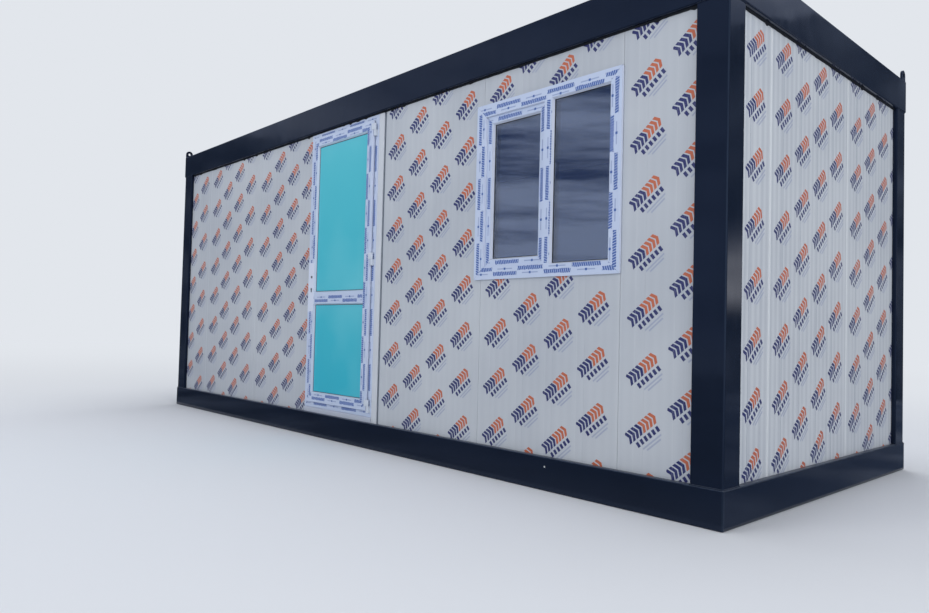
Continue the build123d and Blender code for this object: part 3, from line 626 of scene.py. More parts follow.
def print_film(tree, place, film, across, height):
    """Lays the inks on the film, thinner in specks."""
    navy, orange, rules = film_ink(tree, across, height)
    worn = add_node(tree, "TexNoise", {"Vector": place, "Scale": 1000 / INK_SPECK_MM, "Detail": 3.0})
    ink_left = add_node(tree, "MapRange", {
        "Value": worn, "From Min": 0.25, "From Max": 0.5, "To Min": INK_THIN, "To Max": INK_FULL,
    })
    printed = film
    for mask, strength, ink in (
        (rules, RULE_STRENGTH, FILM_RULE), (navy, ink_left, FILM_NAVY), (orange, ink_left, FILM_ORANGE),
    ):
        share = add_node(tree, "Math", {0: mask, 1: strength}, operation="MULTIPLY")
        printed = add_node(tree, "Mix", {0: share, 6: printed, 7: ink}, 2, data_type="RGBA")
    return printed


print("flutes", FLUTE_PITCH, "m apart")

# %% [markdown]
# ### Pressed bands and joints
# The steel has four shallow bands pressed into each metre. The model has them too, and the film bridges
# their slopes. Their light and shade is painted: a line of painted shade on one side of a band and a painted
# highlight on the other. At a joint the film is double and paler. Low light brings the band lines out on the
# ends, and they are faint on the long walls, so a wall's finish is given the strength of these painted lines,
# which also sets the flutes and the paler joints.

# %% Painted shade and highlight along the bands, and the joints
SLOPE_PAINTED_SHADE = colour("#8d95a3")
SLOPE_HIGHLIGHT_AND_OVERLAP_PALE = colour("#d6dade")
SLOPE_HALF = 0.0022
OVERLAP = 0.012
BANDS = 4
BAND_FIRST = 0.118
BAND_PITCH = 0.214
BAND_HALF = 0.0265


def mark_bands(tree, printed, across, painted_lines_and_overlap_strength):
    """Adds painted shade and highlight on the bands' slopes, and the doubled film at a panel's joints."""
    in_panel = add_node(tree, "Math", {0: across}, operation="FRACT")
    band = add_node(tree, "Math", {
        0: in_panel, 1: PANEL_MODULE / BAND_PITCH, 2: 0.5 - BAND_FIRST / BAND_PITCH,
    }, operation="MULTIPLY_ADD")
    from_band = add_node(tree, "Math", {0: band}, operation="FRACT")
    from_band = add_node(tree, "Math", {0: from_band, 1: 0.5}, operation="SUBTRACT")
    inside = add_node(tree, "Math", {0: band, 1: float(BANDS)}, operation="LESS_THAN")
    # Painted shade on one slope of each band and painted highlight on the other.
    for side, tone in ((BAND_HALF, SLOPE_PAINTED_SHADE), (-BAND_HALF, SLOPE_HIGHLIGHT_AND_OVERLAP_PALE)):
        painted_slope = add_node(tree, "Math", {
            0: from_band, 1: side / BAND_PITCH, 2: SLOPE_HALF / BAND_PITCH,
        }, operation="COMPARE")
        for limit in (inside, painted_lines_and_overlap_strength):
            painted_slope = add_node(tree, "Math", {0: painted_slope, 1: limit}, operation="MULTIPLY")
        printed = add_node(tree, "Mix", {0: painted_slope, 6: printed, 7: tone}, 2, data_type="RGBA")
    off_joint = add_node(tree, "Math", {0: in_panel, 1: 0.5}, operation="SUBTRACT")
    off_joint = add_node(tree, "Math", {0: off_joint}, operation="ABSOLUTE")
    overlap = add_node(tree, "Math", {
        0: off_joint, 1: 0.5 - OVERLAP / PANEL_MODULE,
    }, operation="GREATER_THAN")
    overlap = add_node(tree, "Math", {0: overlap, 1: painted_lines_and_overlap_strength}, operation="MULTIPLY")
    return add_node(tree, "Mix", {0: overlap, 6: printed, 7: SLOPE_HIGHLIGHT_AND_OVERLAP_PALE}, 2, data_type="RGBA")


print("bands", BAND_PITCH, "m apart,", round(2 * BAND_HALF, 3), "m wide")

# %% [markdown]
# ### The panel material
# One panel shows three materials: the film on its outer sheet, the yellow foam at a cut, and the white sheet
# towards the room. They differ by depth, so the distance from the cabin's middle picks between them. The
# film's wrinkles and its small bubbles of trapped air rise by less than two millimetres, so they are bump.

# %% Panel finish for each wall
ROOM_SHEET = colour("#d9dbdb")
FOAM = colour("#c9bd8d")
FILM_DEPTH = 0.0035
ROOM_SHEET_DEPTH = 0.0585
FRONT_PAINTED_LINES_AND_OVERLAP = 0.09
END_PAINTED_LINES_AND_OVERLAP = 0.60
FILM_CLOUD_MM = 909.0
WRINKLE_MM = 130.0
WRINKLE_STRETCH = (1.0, 1.0, 0.15)
WRINKLE_DEPTH = 0.0016
BUBBLE_MM = 24.0
BUBBLE_DEPTH = 0.0006


def film_relief(tree, place, cloud):
    """Tall shallow wrinkles, and bubbles where the clouds are thick; gives the normal and the gloss."""
    tall = add_node(tree, "Mapping", {"Vector": place, "Scale": WRINKLE_STRETCH})
    wrinkles = add_node(tree, "TexNoise", {
        "Vector": tall, "Scale": 1000 / WRINKLE_MM, "Detail": 4.0, "Roughness": 0.6, "Distortion": 0.6,
    })
    bubbles = add_node(tree, "TexVoronoi", {"Vector": place, "Scale": 1000 / BUBBLE_MM}, "Distance")
    blister = add_node(tree, "MapRange", {"Value": bubbles, "From Min": 0.30, "From Max": 0.0, "To Max": 1.0})
    some = add_node(tree, "MapRange", {"Value": cloud, "From Min": 0.5, "From Max": 0.62})
    blister = add_node(tree, "Math", {0: blister, 1: some}, operation="MULTIPLY")
    bump = add_node(tree, "Bump", {"Height": wrinkles, "Strength": 0.15, "Distance": WRINKLE_DEPTH})
    bump = add_node(tree, "Bump", {
        "Height": blister, "Strength": 0.15, "Distance": BUBBLE_DEPTH, "Normal": bump,
    })
    gloss = add_node(tree, "MapRange", {
        "Value": wrinkles, "From Min": 0.3, "From Max": 0.7, "To Min": 0.30, "To Max": 0.46,
    })
    return bump, gloss


def panel_finish(name, axis, sign, joint, outer_face, painted_lines_and_overlap_strength):
    """Printed panel for one wall: axis runs along it, sign points right, joint is where a panel starts."""
    material, tree, place = new_finish(name)
    run = add_node(tree, "SeparateXYZ", {0: place}, axis)
    depth = add_node(tree, "SeparateXYZ", {0: place}, "Y" if axis == "X" else "X")
    height = add_node(tree, "SeparateXYZ", {0: place}, "Z")
    across = add_node(tree, "Math", {
        0: run, 1: sign / PANEL_MODULE, 2: -sign * joint / PANEL_MODULE,
    }, operation="MULTIPLY_ADD")
    cloud = add_node(tree, "TexNoise", {"Vector": place, "Scale": 1000 / FILM_CLOUD_MM, "Detail": 3.0})
    film = film_tone(tree, run, cloud, painted_lines_and_overlap_strength)
    printed = print_film(tree, place, film, across, height)
    printed = mark_bands(tree, printed, across, painted_lines_and_overlap_strength)

    off_middle = add_node(tree, "Math", {0: depth}, operation="ABSOLUTE")
    is_film = add_node(tree, "Math", {0: off_middle, 1: outer_face - FILM_DEPTH}, operation="GREATER_THAN")
    is_room = add_node(tree, "Math", {0: off_middle, 1: outer_face - ROOM_SHEET_DEPTH}, operation="LESS_THAN")
    behind = add_node(tree, "Mix", {0: is_room, 6: FOAM, 7: ROOM_SHEET}, 2, data_type="RGBA")
    surface = add_node(tree, "Mix", {0: is_film, 6: behind, 7: printed}, 2, data_type="RGBA")
    bump, gloss = film_relief(tree, place, cloud)
    shader = add_node(tree, "BsdfPrincipled", {
        "Base Color": surface, "Roughness": gloss, "Normal": bump, "IOR": 1.5, "Specular IOR Level": 0.45,
    })
    add_node(tree, "OutputMaterial", {"Surface": shader})
    return material


JOINT_HALF = 0.0005
LONG_FACE = -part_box("front_panel_1")[0].y
END_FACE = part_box("right_end_panel_1")[1].x
LEFT_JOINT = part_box("front_panel_2")[0].x - JOINT_HALF
RIGHT_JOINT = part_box("front_panel_5")[0].x - JOINT_HALF
REAR_JOINT = 2.5
END_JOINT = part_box("right_end_panel_2")[0].y - JOINT_HALF
front_left_film = panel_finish("printed_film_front_left", "X", 1, LEFT_JOINT, LONG_FACE, FRONT_PAINTED_LINES_AND_OVERLAP)
front_right_film = panel_finish("printed_film_front_right", "X", 1, RIGHT_JOINT, LONG_FACE, FRONT_PAINTED_LINES_AND_OVERLAP)
rear_film = panel_finish("printed_film_rear", "X", -1, REAR_JOINT, LONG_FACE, FRONT_PAINTED_LINES_AND_OVERLAP)
right_end_film = panel_finish("printed_film_right_end", "Y", 1, END_JOINT, END_FACE, END_PAINTED_LINES_AND_OVERLAP)
left_end_film = panel_finish("printed_film_left_end", "Y", -1, END_JOINT, END_FACE, END_PAINTED_LINES_AND_OVERLAP)
print("panels start at", [round(joint, 3) for joint in (LEFT_JOINT, RIGHT_JOINT, REAR_JOINT, END_JOINT)])

# %% [markdown]
# ## White profiles under printed film
# The door and window are welded from hollow white PVC profiles, a smooth extruded plastic with a soft gloss.
# Each profile wears a bluish film with two rows of blue marks that run along it, and the rows turn with the
# profile at every mitred corner. A pattern laid flat over the whole frame would cut across the corners, so
# each point first finds its nearest outer edge: the distance from that edge counts the rows, and the place
# along it spaces the marks. At the mitre both distances are equal, so the rows turn there, and the weld
# shows as a fine line.

# %% A point finds its profile
MITRE_LINE = 0.0009
MITRE_REACH = 0.080


def find_profile(tree, place, edge, bar):
    """Distance in from the profile's edge, place along it, and masks of the uprights and the mitres."""
    left, right, bottom, top = edge
    x = add_node(tree, "SeparateXYZ", {0: place}, "X")
    z = add_node(tree, "SeparateXYZ", {0: place}, "Z")
    from_left = add_node(tree, "Math", {0: x, 1: left}, operation="SUBTRACT")
    from_right = add_node(tree, "Math", {0: right, 1: x}, operation="SUBTRACT")
    from_bottom = add_node(tree, "Math", {0: z, 1: bottom}, operation="SUBTRACT")
    from_top = add_node(tree, "Math", {0: top, 1: z}, operation="SUBTRACT")
    sideways = add_node(tree, "Math", {0: from_left, 1: from_right}, operation="MINIMUM")
    upwards = add_node(tree, "Math", {0: from_bottom, 1: from_top}, operation="MINIMUM")
    across = add_node(tree, "Math", {0: sideways, 1: upwards}, operation="MINIMUM")
    upright = add_node(tree, "Math", {0: sideways, 1: upwards}, operation="LESS_THAN")
    along = add_node(tree, "Mix", {0: upright, 2: x, 3: z}, 0)
    mitre = add_node(tree, "Math", {0: sideways, 1: upwards, 2: MITRE_LINE}, operation="COMPARE")
    in_corner = add_node(tree, "Math", {0: across, 1: MITRE_REACH}, operation="LESS_THAN")
    mitre = add_node(tree, "Math", {0: mitre, 1: in_corner}, operation="MULTIPLY")
    if bar is not None:
        bar_axis, bar_low, bar_high, member = bar
        crossing, running = (z, x) if bar_axis == "Z" else (x, z)
        off_ends = sideways if bar_axis == "Z" else upwards
        in_bar = add_node(tree, "Math", {
            0: crossing, 1: (bar_low + bar_high) / 2, 2: (bar_high - bar_low) / 2,
        }, operation="COMPARE")
        past_members = add_node(tree, "Math", {0: off_ends, 1: member}, operation="GREATER_THAN")
        in_bar = add_node(tree, "Math", {0: in_bar, 1: past_members}, operation="MULTIPLY")
        bar_across = add_node(tree, "Math", {0: crossing, 1: bar_low}, operation="SUBTRACT")
        across = add_node(tree, "Mix", {0: in_bar, 2: across, 3: bar_across}, 0)
        along = add_node(tree, "Mix", {0: in_bar, 2: along, 3: running}, 0)
    return across, along, upright, mitre


print("mitre lines", round(2 * MITRE_LINE * 1000, 1), "mm wide")

# %% [markdown]
# ### Marks that follow the profiles
# A mark is a long bar of short slanting hatching, then a dot in a thin line, and the two rows are staggered,
# so that one row's bar lies beside the other's line. The hatching's strokes vary in height, so that the
# bar doesn't look ruled. A place along the row runs from 0 to 1 over one mark, and so does a place across
# it.

# %% Hatching, dots and lines
FIRST_ROW = 0.016
MARK_ROW = 0.0275
MARK_PITCH = 0.390
HATCH_PITCH = 0.0140
HATCH_SHARE = 0.76
HATCH_LEAN = 0.35
HATCH_HALF_HEIGHT = (0.36, 0.48)
HATCHED = (0.27, 0.24)
DOT = (0.77, 0.017)
DOT_HALF_HEIGHT = 0.24
LINE_HALF_LENGTH = 0.15
LINE_HALF_HEIGHT = 0.13


def hatching(tree, across, along, in_row, in_mark):
    """Mask of the hatched bar: slanting strokes, each with a height of its own."""
    in_length = add_node(tree, "Math", {0: in_mark, 1: HATCHED[0], 2: HATCHED[1]}, operation="COMPARE")
    slant = add_node(tree, "Math", {0: across, 1: HATCH_LEAN, 2: along}, operation="MULTIPLY_ADD")
    stroke = add_node(tree, "Math", {0: slant, 1: HATCH_PITCH}, operation="DIVIDE")
    number = add_node(tree, "Math", {0: stroke}, operation="FLOOR")
    tall = add_node(tree, "TexWhiteNoise", {"W": number}, "Value", noise_dimensions="1D")
    tall = add_node(tree, "MapRange", {
        "Value": tall, "To Min": HATCH_HALF_HEIGHT[0], "To Max": HATCH_HALF_HEIGHT[1],
    })
    off_row = add_node(tree, "Math", {0: in_row, 1: 0.5}, operation="SUBTRACT")
    off_row = add_node(tree, "Math", {0: off_row}, operation="ABSOLUTE")
    in_height = add_node(tree, "Math", {0: off_row, 1: tall}, operation="LESS_THAN")
    stroke = add_node(tree, "Math", {0: stroke}, operation="FRACT")
    stroke = add_node(tree, "Math", {0: stroke, 1: HATCH_SHARE}, operation="LESS_THAN")
    mask = in_length
    for limit in (in_height, stroke):
        mask = add_node(tree, "Math", {0: mask, 1: limit}, operation="MULTIPLY")
    return mask


def dash_mask(tree, in_row, in_mark, half_length, half_height):
    """Mask of a bar round the dot's place, as long and as high as asked."""
    in_length = add_node(tree, "Math", {0: in_mark, 1: DOT[0], 2: half_length}, operation="COMPARE")
    in_height = add_node(tree, "Math", {0: in_row, 1: 0.5, 2: half_height}, operation="COMPARE")
    return add_node(tree, "Math", {0: in_length, 1: in_height}, operation="MULTIPLY")


def profile_marks(tree, place, edge, bar, rows):
    """Masks of the strong marks, the faint marks and the welded mitres on a frame with one cross bar."""
    across, along, upright, mitre = find_profile(tree, place, edge, bar)
    row_place = add_node(tree, "Math", {
        0: across, 1: 1 / MARK_ROW, 2: -FIRST_ROW / MARK_ROW,
    }, operation="MULTIPLY_ADD")
    row = add_node(tree, "Math", {0: row_place}, operation="FLOOR")
    in_row = add_node(tree, "Math", {0: row_place}, operation="FRACT")
    shift = add_node(tree, "Math", {0: row, 1: 0.5, 2: upright}, operation="MULTIPLY_ADD")
    mark_place = add_node(tree, "Math", {0: along, 1: 1 / MARK_PITCH, 2: shift}, operation="MULTIPLY_ADD")
    in_mark = add_node(tree, "Math", {0: mark_place}, operation="FRACT")

    strong = hatching(tree, across, along, in_row, in_mark)
    dot = dash_mask(tree, in_row, in_mark, DOT[1], DOT_HALF_HEIGHT)
    strong = add_node(tree, "Math", {0: strong, 1: dot}, operation="MAXIMUM")
    faint = dash_mask(tree, in_row, in_mark, LINE_HALF_LENGTH, LINE_HALF_HEIGHT)
    past_lip = add_node(tree, "Math", {0: row_place, 1: 0.0}, operation="GREATER_THAN")
    before_bead = add_node(tree, "Math", {0: row_place, 1: float(rows)}, operation="LESS_THAN")
    in_rows = add_node(tree, "Math", {0: past_lip, 1: before_bead}, operation="MULTIPLY")
    strong = add_node(tree, "Math", {0: strong, 1: in_rows}, operation="MULTIPLY")
    faint = add_node(tree, "Math", {0: faint, 1: in_rows}, operation="MULTIPLY")
    return strong, faint, mitre


print("marks every", MARK_PITCH, "m in rows", MARK_ROW, "m apart")

# %% [markdown]
# ### The filmed frames
# Only the faces at the front wear the film, and a depth test finds them. Where the lock sits the film is
# torn away, and the tear's edge is a height with noise added to it. Under the film air lies in shallow
# wrinkles, while bare plastic is smooth, so the wrinkles are bump that is multiplied by the covered mask.

# %% Finish of a filmed frame
LEAF_FACE = 0.078
FILM_EDGE = 0.0015
PVC_WHITE = colour("#d0d8ea")
PVC_FILM = colour("#b9c6df")
MARK_BLUE = colour("#2c549f")
PVC_SEAM = colour("#8791a3")
TEAR_MM = 45.0
TEAR_RAGGED = 0.030
TINT_CLOUD_MM = 333.0
CREASE_MM = 35.7
CREASE_DEPTH = 0.0008
STRONG_INK = 0.95
FAINT_INK = 0.42
SEAM_SHARE = 0.6


def covered_by_film(tree, place, edge, face, bare):
    """Mask of the film: the faces at the front, without the torn patch beside the lock."""
    y = add_node(tree, "SeparateXYZ", {0: place}, "Y")
    z = add_node(tree, "SeparateXYZ", {0: place}, "Z")
    at_front = add_node(tree, "Math", {0: y, 1: face + FILM_EDGE}, operation="LESS_THAN")
    tear = add_node(tree, "TexNoise", {"Vector": place, "Scale": 1000 / TEAR_MM, "Detail": 3.0})
    torn = add_node(tree, "Math", {0: tear, 1: TEAR_RAGGED, 2: z}, operation="MULTIPLY_ADD")
    above = add_node(tree, "Math", {0: torn, 1: bare[1]}, operation="GREATER_THAN")
    below = add_node(tree, "Math", {0: torn, 1: bare[0]}, operation="LESS_THAN")
    x = add_node(tree, "SeparateXYZ", {0: place}, "X")
    off_stile = add_node(tree, "Math", {0: x, 1: edge[0] + LEAF_FACE}, operation="GREATER_THAN")
    covered = above
    for elsewhere in (below, off_stile):
        covered = add_node(tree, "Math", {0: covered, 1: elsewhere}, operation="MAXIMUM")
    return add_node(tree, "Math", {0: covered, 1: at_front}, operation="MULTIPLY")


def profile_finish(name, edge, face, bar=None, rows=2, bare=(0.0, 0.0)):
    """White profiles with film on the faces at the front, from face back to the first step."""
    material, tree, place = new_finish(name)
    strong, faint, mitre = profile_marks(tree, place, edge, bar, rows)
    covered = covered_by_film(tree, place, edge, face, bare)
    for limit, share in ((covered, covered), (STRONG_INK, FAINT_INK)):
        strong = add_node(tree, "Math", {0: strong, 1: limit}, operation="MULTIPLY")
        faint = add_node(tree, "Math", {0: faint, 1: share}, operation="MULTIPLY")
    seam = add_node(tree, "Math", {0: mitre, 1: SEAM_SHARE}, operation="MULTIPLY")
    cloud = add_node(tree, "TexNoise", {"Vector": place, "Scale": 1000 / TINT_CLOUD_MM, "Detail": 3.0})
    tint = add_node(tree, "MapRange", {"Value": cloud, "From Min": 0.3, "From Max": 0.7, "To Min": 0.75})
    tint = add_node(tree, "Math", {0: tint, 1: covered}, operation="MULTIPLY")
    surface = PVC_WHITE
    for share, tone in ((tint, PVC_FILM), (faint, MARK_BLUE), (strong, MARK_BLUE), (seam, PVC_SEAM)):
        surface = add_node(tree, "Mix", {0: share, 6: surface, 7: tone}, 2, data_type="RGBA")
    wrinkles = add_node(tree, "TexNoise", {"Vector": place, "Scale": 1000 / CREASE_MM, "Detail": 3.0})
    raised = add_node(tree, "Math", {0: wrinkles, 1: covered}, operation="MULTIPLY")
    bump = add_node(tree, "Bump", {"Height": raised, "Strength": 0.3, "Distance": CREASE_DEPTH})
    gloss = add_node(tree, "MapRange", {"Value": wrinkles, "To Min": 0.22, "To Max": 0.42})
    shader = add_node(tree, "BsdfPrincipled", {
        "Base Color": surface, "Roughness": gloss, "Normal": bump, "IOR": 1.53, "Specular IOR Level": 0.45,
    })
    add_node(tree, "OutputMaterial", {"Surface": shader})
    return material


print("film torn away by up to", TEAR_RAGGED, "m")

# %% [markdown]
# Four frames wear this finish. The frame of the door has no cross bar, the leaf has its middle rail and the
# window its mullion, and the sash has room for one row of marks only. Their outer edges and faces come from
# the nodes' boxes.

# %% Finishes of the four frames
MID_RAIL = (1.017, 1.120)
WINDOW_MEMBER = 0.076
MULLION = (1.943, 2.004)
LOCK_PATCH = (0.98, 1.36)


def front_view(node):
    """Left, right, bottom and top of a node seen from the front, and how far forward its face lies."""
    low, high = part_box(node)
    return (low.x, high.x, low.z, high.z), low.y


door_frame_film = profile_finish("filmed_pvc_door_frame", *front_view("door_frame"), bare=LOCK_PATCH)
leaf_film = profile_finish(
    "filmed_pvc_door_leaf", *front_view("door_leaf"), ("Z", *MID_RAIL, LEAF_FACE), bare=LOCK_PATCH
)
window_film = profile_finish(
    "filmed_pvc_window_frame", *front_view("window_frame"), ("X", *MULLION, WINDOW_MEMBER)
)
sash_film = profile_finish("filmed_pvc_sash", *front_view("window_sash"), rows=1)
print("bare patch at the lock is", round(LOCK_PATCH[1] - LOCK_PATCH[0], 3), "m high")

# %% [markdown]
# ## Turquoise film on the door's infill
# The lower and upper lights of the door hold sandwich infills, a foam board between two white PVC sheets, and
# they wear a glossy turquoise film. Stretched film is even in colour and shines softly, so its interest lies
# in slow changes: a painted reflection of the sky makes it a little paler and greener towards the top, it is
# paler in patches where air lies under it, and it has a few shallow creases.

# %% Infill finish
INFILL_TOP_PAINTED_REFLECTION = colour("#58bfce")
INFILL_FOOT = colour("#38b0c6")
INFILL_AIR = colour("#7fcfdb")
INFILL_REFLECTION_RISE = (0.35, 2.25)
AIR_CLOUD_MM = 714.0
INFILL_CREASE_MM = 333.0
INFILL_CREASE_DEPTH = 0.002

infill, tree, place = new_finish("turquoise_filmed_pvc_sheet")
height = add_node(tree, "SeparateXYZ", {0: place}, "Z")
cloud = add_node(tree, "TexNoise", {"Vector": place, "Scale": 1000 / AIR_CLOUD_MM, "Detail": 2.0})
# Painted reflection: the film turns paler and greener towards the top, as if it mirrored the sky.
rise = add_node(tree, "MapRange", {"Value": height, "From Min": INFILL_REFLECTION_RISE[0], "From Max": INFILL_REFLECTION_RISE[1]})
rise = add_node(tree, "Math", {0: cloud, 1: 0.5, 2: rise}, operation="MULTIPLY_ADD")
rise = add_node(tree, "Math", {0: rise, 1: 0.25}, operation="SUBTRACT", use_clamp=True)
film = add_node(tree, "Mix", {0: rise, 6: INFILL_FOOT, 7: INFILL_TOP_PAINTED_REFLECTION}, 2, data_type="RGBA")
air = add_node(tree, "MapRange", {"Value": cloud, "From Min": 0.45, "From Max": 0.80, "To Max": 0.50})
film = add_node(tree, "Mix", {0: air, 6: film, 7: INFILL_AIR}, 2, data_type="RGBA")
creases = add_node(tree, "TexNoise", {
    "Vector": place, "Scale": 1000 / INFILL_CREASE_MM, "Detail": 1.0, "Distortion": 0.4,
})
bump = add_node(tree, "Bump", {"Height": creases, "Strength": 0.2, "Distance": INFILL_CREASE_DEPTH})
shader = add_node(tree, "BsdfPrincipled", {
    "Base Color": film, "Roughness": 0.20, "Normal": bump, "IOR": 1.5, "Specular IOR Level": 0.40,
})
add_node(tree, "OutputMaterial", {"Surface": shader})

# %% [markdown]
# ## The smaller finishes
# Each of these is a plain industrial surface, and each still has a grain of its own. Galvanised sheet shows
# spangle, the flat crystals of zinc that grew as it cooled, some 12 mm across. A Voronoi texture has such
# cells, each with a tone of its own. The sill is anodised aluminium, whose milky oxide skin hides most of
# the metal's mirror, with drawing lines along it. Real lines are finer than a pixel and are drawn coarser.

# %% Galvanised sheet and aluminium
SPANGLE_MM = 12.0
ZINC = colour("#c0c6cd")
ZINC_DARK = colour("#a2a9b2")
ALUMINIUM = colour("#c6ccd9")
DRAWN_LINE_MM = 1.111
DRAWN_LENGTH_MM = 500.0

zinc, tree, place = new_finish("hot_dipped_galvanised_sheet")
crystal = add_node(tree, "TexVoronoi", {"Vector": place, "Scale": 1000 / SPANGLE_MM}, "Color")
tone = add_node(tree, "SeparateColor", {0: crystal}, "Red")
surface = add_node(tree, "Mix", {0: tone, 6: ZINC_DARK, 7: ZINC}, 2, data_type="RGBA")
gloss = add_node(tree, "MapRange", {"Value": tone, "To Min": 0.38, "To Max": 0.55})
shader = add_node(tree, "BsdfPrincipled", {"Base Color": surface, "Roughness": gloss, "Metallic": 0.75})
add_node(tree, "OutputMaterial", {"Surface": shader})

aluminium, tree, place = new_finish("anodised_aluminium")
drawn = add_node(tree, "Mapping", {
    "Vector": place, "Scale": (1000 / DRAWN_LENGTH_MM, 1000 / DRAWN_LINE_MM, 1000 / DRAWN_LINE_MM),
})
lines = add_node(tree, "TexNoise", {"Vector": drawn, "Scale": 1.0, "Detail": 2.0})
gloss = add_node(tree, "MapRange", {"Value": lines, "To Min": 0.40, "To Max": 0.56})
bump = add_node(tree, "Bump", {"Height": lines, "Strength": 0.2, "Distance": 0.0001})
shader = add_node(tree, "BsdfPrincipled", {
    "Base Color": ALUMINIUM, "Roughness": gloss, "Metallic": 0.25, "Normal": bump,
})
add_node(tree, "OutputMaterial", {"Surface": shader})
print("spangle", SPANGLE_MM, "mm")

# %% [markdown]
# ### Board and vinyl
# The floor board is pressed from flakes of wood some 9 mm across, glued and sanded, and each flake keeps its
# own brown. Over it lies sheet vinyl, rolled soft and flecked so that dirt doesn't show. Its flecks are
# the high spots of a noise, drawn a little coarser than the real ones.

# %% Board and vinyl
FLAKE_MM = 9.0
FLAKE_PALE = colour("#b79a6b")
FLAKE_DARK = colour("#7d6240")
FLECK_MM = 4.0
VINYL = colour("#85878a")
VINYL_FLECK = colour("#a3a29e")

board, tree, place = new_finish("pressed_flake_board")
flakes = add_node(tree, "TexVoronoi", {"Vector": place, "Scale": 1000 / FLAKE_MM}, "Color")
tone = add_node(tree, "SeparateColor", {0: flakes}, "Green")
surface = add_node(tree, "Mix", {0: tone, 6: FLAKE_DARK, 7: FLAKE_PALE}, 2, data_type="RGBA")
shader = add_node(tree, "BsdfPrincipled", {"Base Color": surface, "Roughness": 0.8, "IOR": 1.5})
add_node(tree, "OutputMaterial", {"Surface": shader})

vinyl, tree, place = new_finish("flecked_sheet_vinyl")
flecks = add_node(tree, "TexNoise", {"Vector": place, "Scale": 1000 / FLECK_MM, "Detail": 2.0})
fleck = add_node(tree, "MapRange", {"Value": flecks, "From Min": 0.52, "From Max": 0.6})
surface = add_node(tree, "Mix", {0: fleck, 6: VINYL, 7: VINYL_FLECK}, 2, data_type="RGBA")
shader = add_node(tree, "BsdfPrincipled", {"Base Color": surface, "Roughness": 0.42, "IOR": 1.53})
add_node(tree, "OutputMaterial", {"Surface": shader})
print("flakes", FLAKE_MM, "mm, flecks", FLECK_MM, "mm")

# %% [markdown]
# ### Coats
# The ceiling is laminated sheet and the hinges are powder coated: even, dull coats with a fine grain. The
# same two things, a faint cloud and a grain, make any sprayed or moulded skin, so one function serves them
# all, and later the spacer bars, the rubber and the sealant too. The grain is drawn coarser than the real
# one.

# %% A plain coat
COAT_CLOUD_MM = 500.0
COAT_GRAIN_MM = 2.0
COAT_GRAIN_DEPTH = 0.0001
COAT_SPREAD = 0.08


def plain_coat(name, pale, shade, roughness):
    """A sprayed, rolled or moulded skin with a faint cloud and a fine texture."""
    material, tree, place = new_finish(name)
    cloud = add_node(tree, "TexNoise", {"Vector": place, "Scale": 1000 / COAT_CLOUD_MM, "Detail": 4.0})
    surface = add_node(tree, "Mix", {0: cloud, 6: shade, 7: pale}, 2, data_type="RGBA")
    grain = add_node(tree, "TexNoise", {"Vector": place, "Scale": 1000 / COAT_GRAIN_MM, "Detail": 1.0})
    bump = add_node(tree, "Bump", {"Height": grain, "Strength": 0.2, "Distance": COAT_GRAIN_DEPTH})
    gloss = add_node(tree, "MapRange", {
        "Value": cloud, "To Min": roughness - COAT_SPREAD, "To Max": roughness + COAT_SPREAD,
    })
    shader = add_node(tree, "BsdfPrincipled", {
        "Base Color": surface, "Roughness": gloss, "Normal": bump, "IOR": 1.5,
    })
    add_node(tree, "OutputMaterial", {"Surface": shader})
    return material


ceiling_coat = plain_coat("laminated_ceiling_sheet", colour("#dcdddc"), colour("#cfd1d1"), 0.5)
hinge_coat = plain_coat("powder_coated_hinge", colour("#ccd4e0"), colour("#bfc8d6"), 0.35)
print("grain of the coats", COAT_GRAIN_MM, "mm")

# %% [markdown]
# ### The filler strip
# Right of the door a folded strip in off-white coated steel closes the gap to the next panel, and a narrow
# step beside it stays in shade. That shade is painted into the step as a grey, so a depth test along Y
# separates the two.

# %% Filler strip finish
STRIP = colour("#c9ced6")
STEP_PAINTED_SHADE = colour("#98a1af")
STEP_DEPTH = 0.004
STRIP_CLOUD_MM = 250.0

strip_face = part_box("door_filler_strip")[0].y
strip, tree, place = new_finish("coated_steel_strip")
y = add_node(tree, "SeparateXYZ", {0: place}, "Y")
in_step = add_node(tree, "Math", {0: y, 1: strip_face + STEP_DEPTH}, operation="GREATER_THAN")
cloud = add_node(tree, "TexNoise", {"Vector": place, "Scale": 1000 / STRIP_CLOUD_MM, "Detail": 4.0})
coat = add_node(tree, "MapRange", {"Value": cloud, "To Min": 0.9, "To Max": 1.05})
coat = add_node(tree, "VectorMath", {0: STRIP[:3], "Scale": coat}, operation="SCALE")
# Painted shade: the step is coloured grey for the shade that lies in it.
surface = add_node(tree, "Mix", {0: in_step, 6: coat, 7: STEP_PAINTED_SHADE}, 2, data_type="RGBA")
shader = add_node(tree, "BsdfPrincipled", {"Base Color": surface, "Roughness": 0.38, "IOR": 1.5})
add_node(tree, "OutputMaterial", {"Surface": shader})
print("strip face at", round(strip_face, 4))

# %% [markdown]
# ## Every node gets its finish
# A node keeps its mesh and its place, and only the material in its slot changes. The table goes from the
# start of a node's name to its finish, and the loop stops if a node is missed.

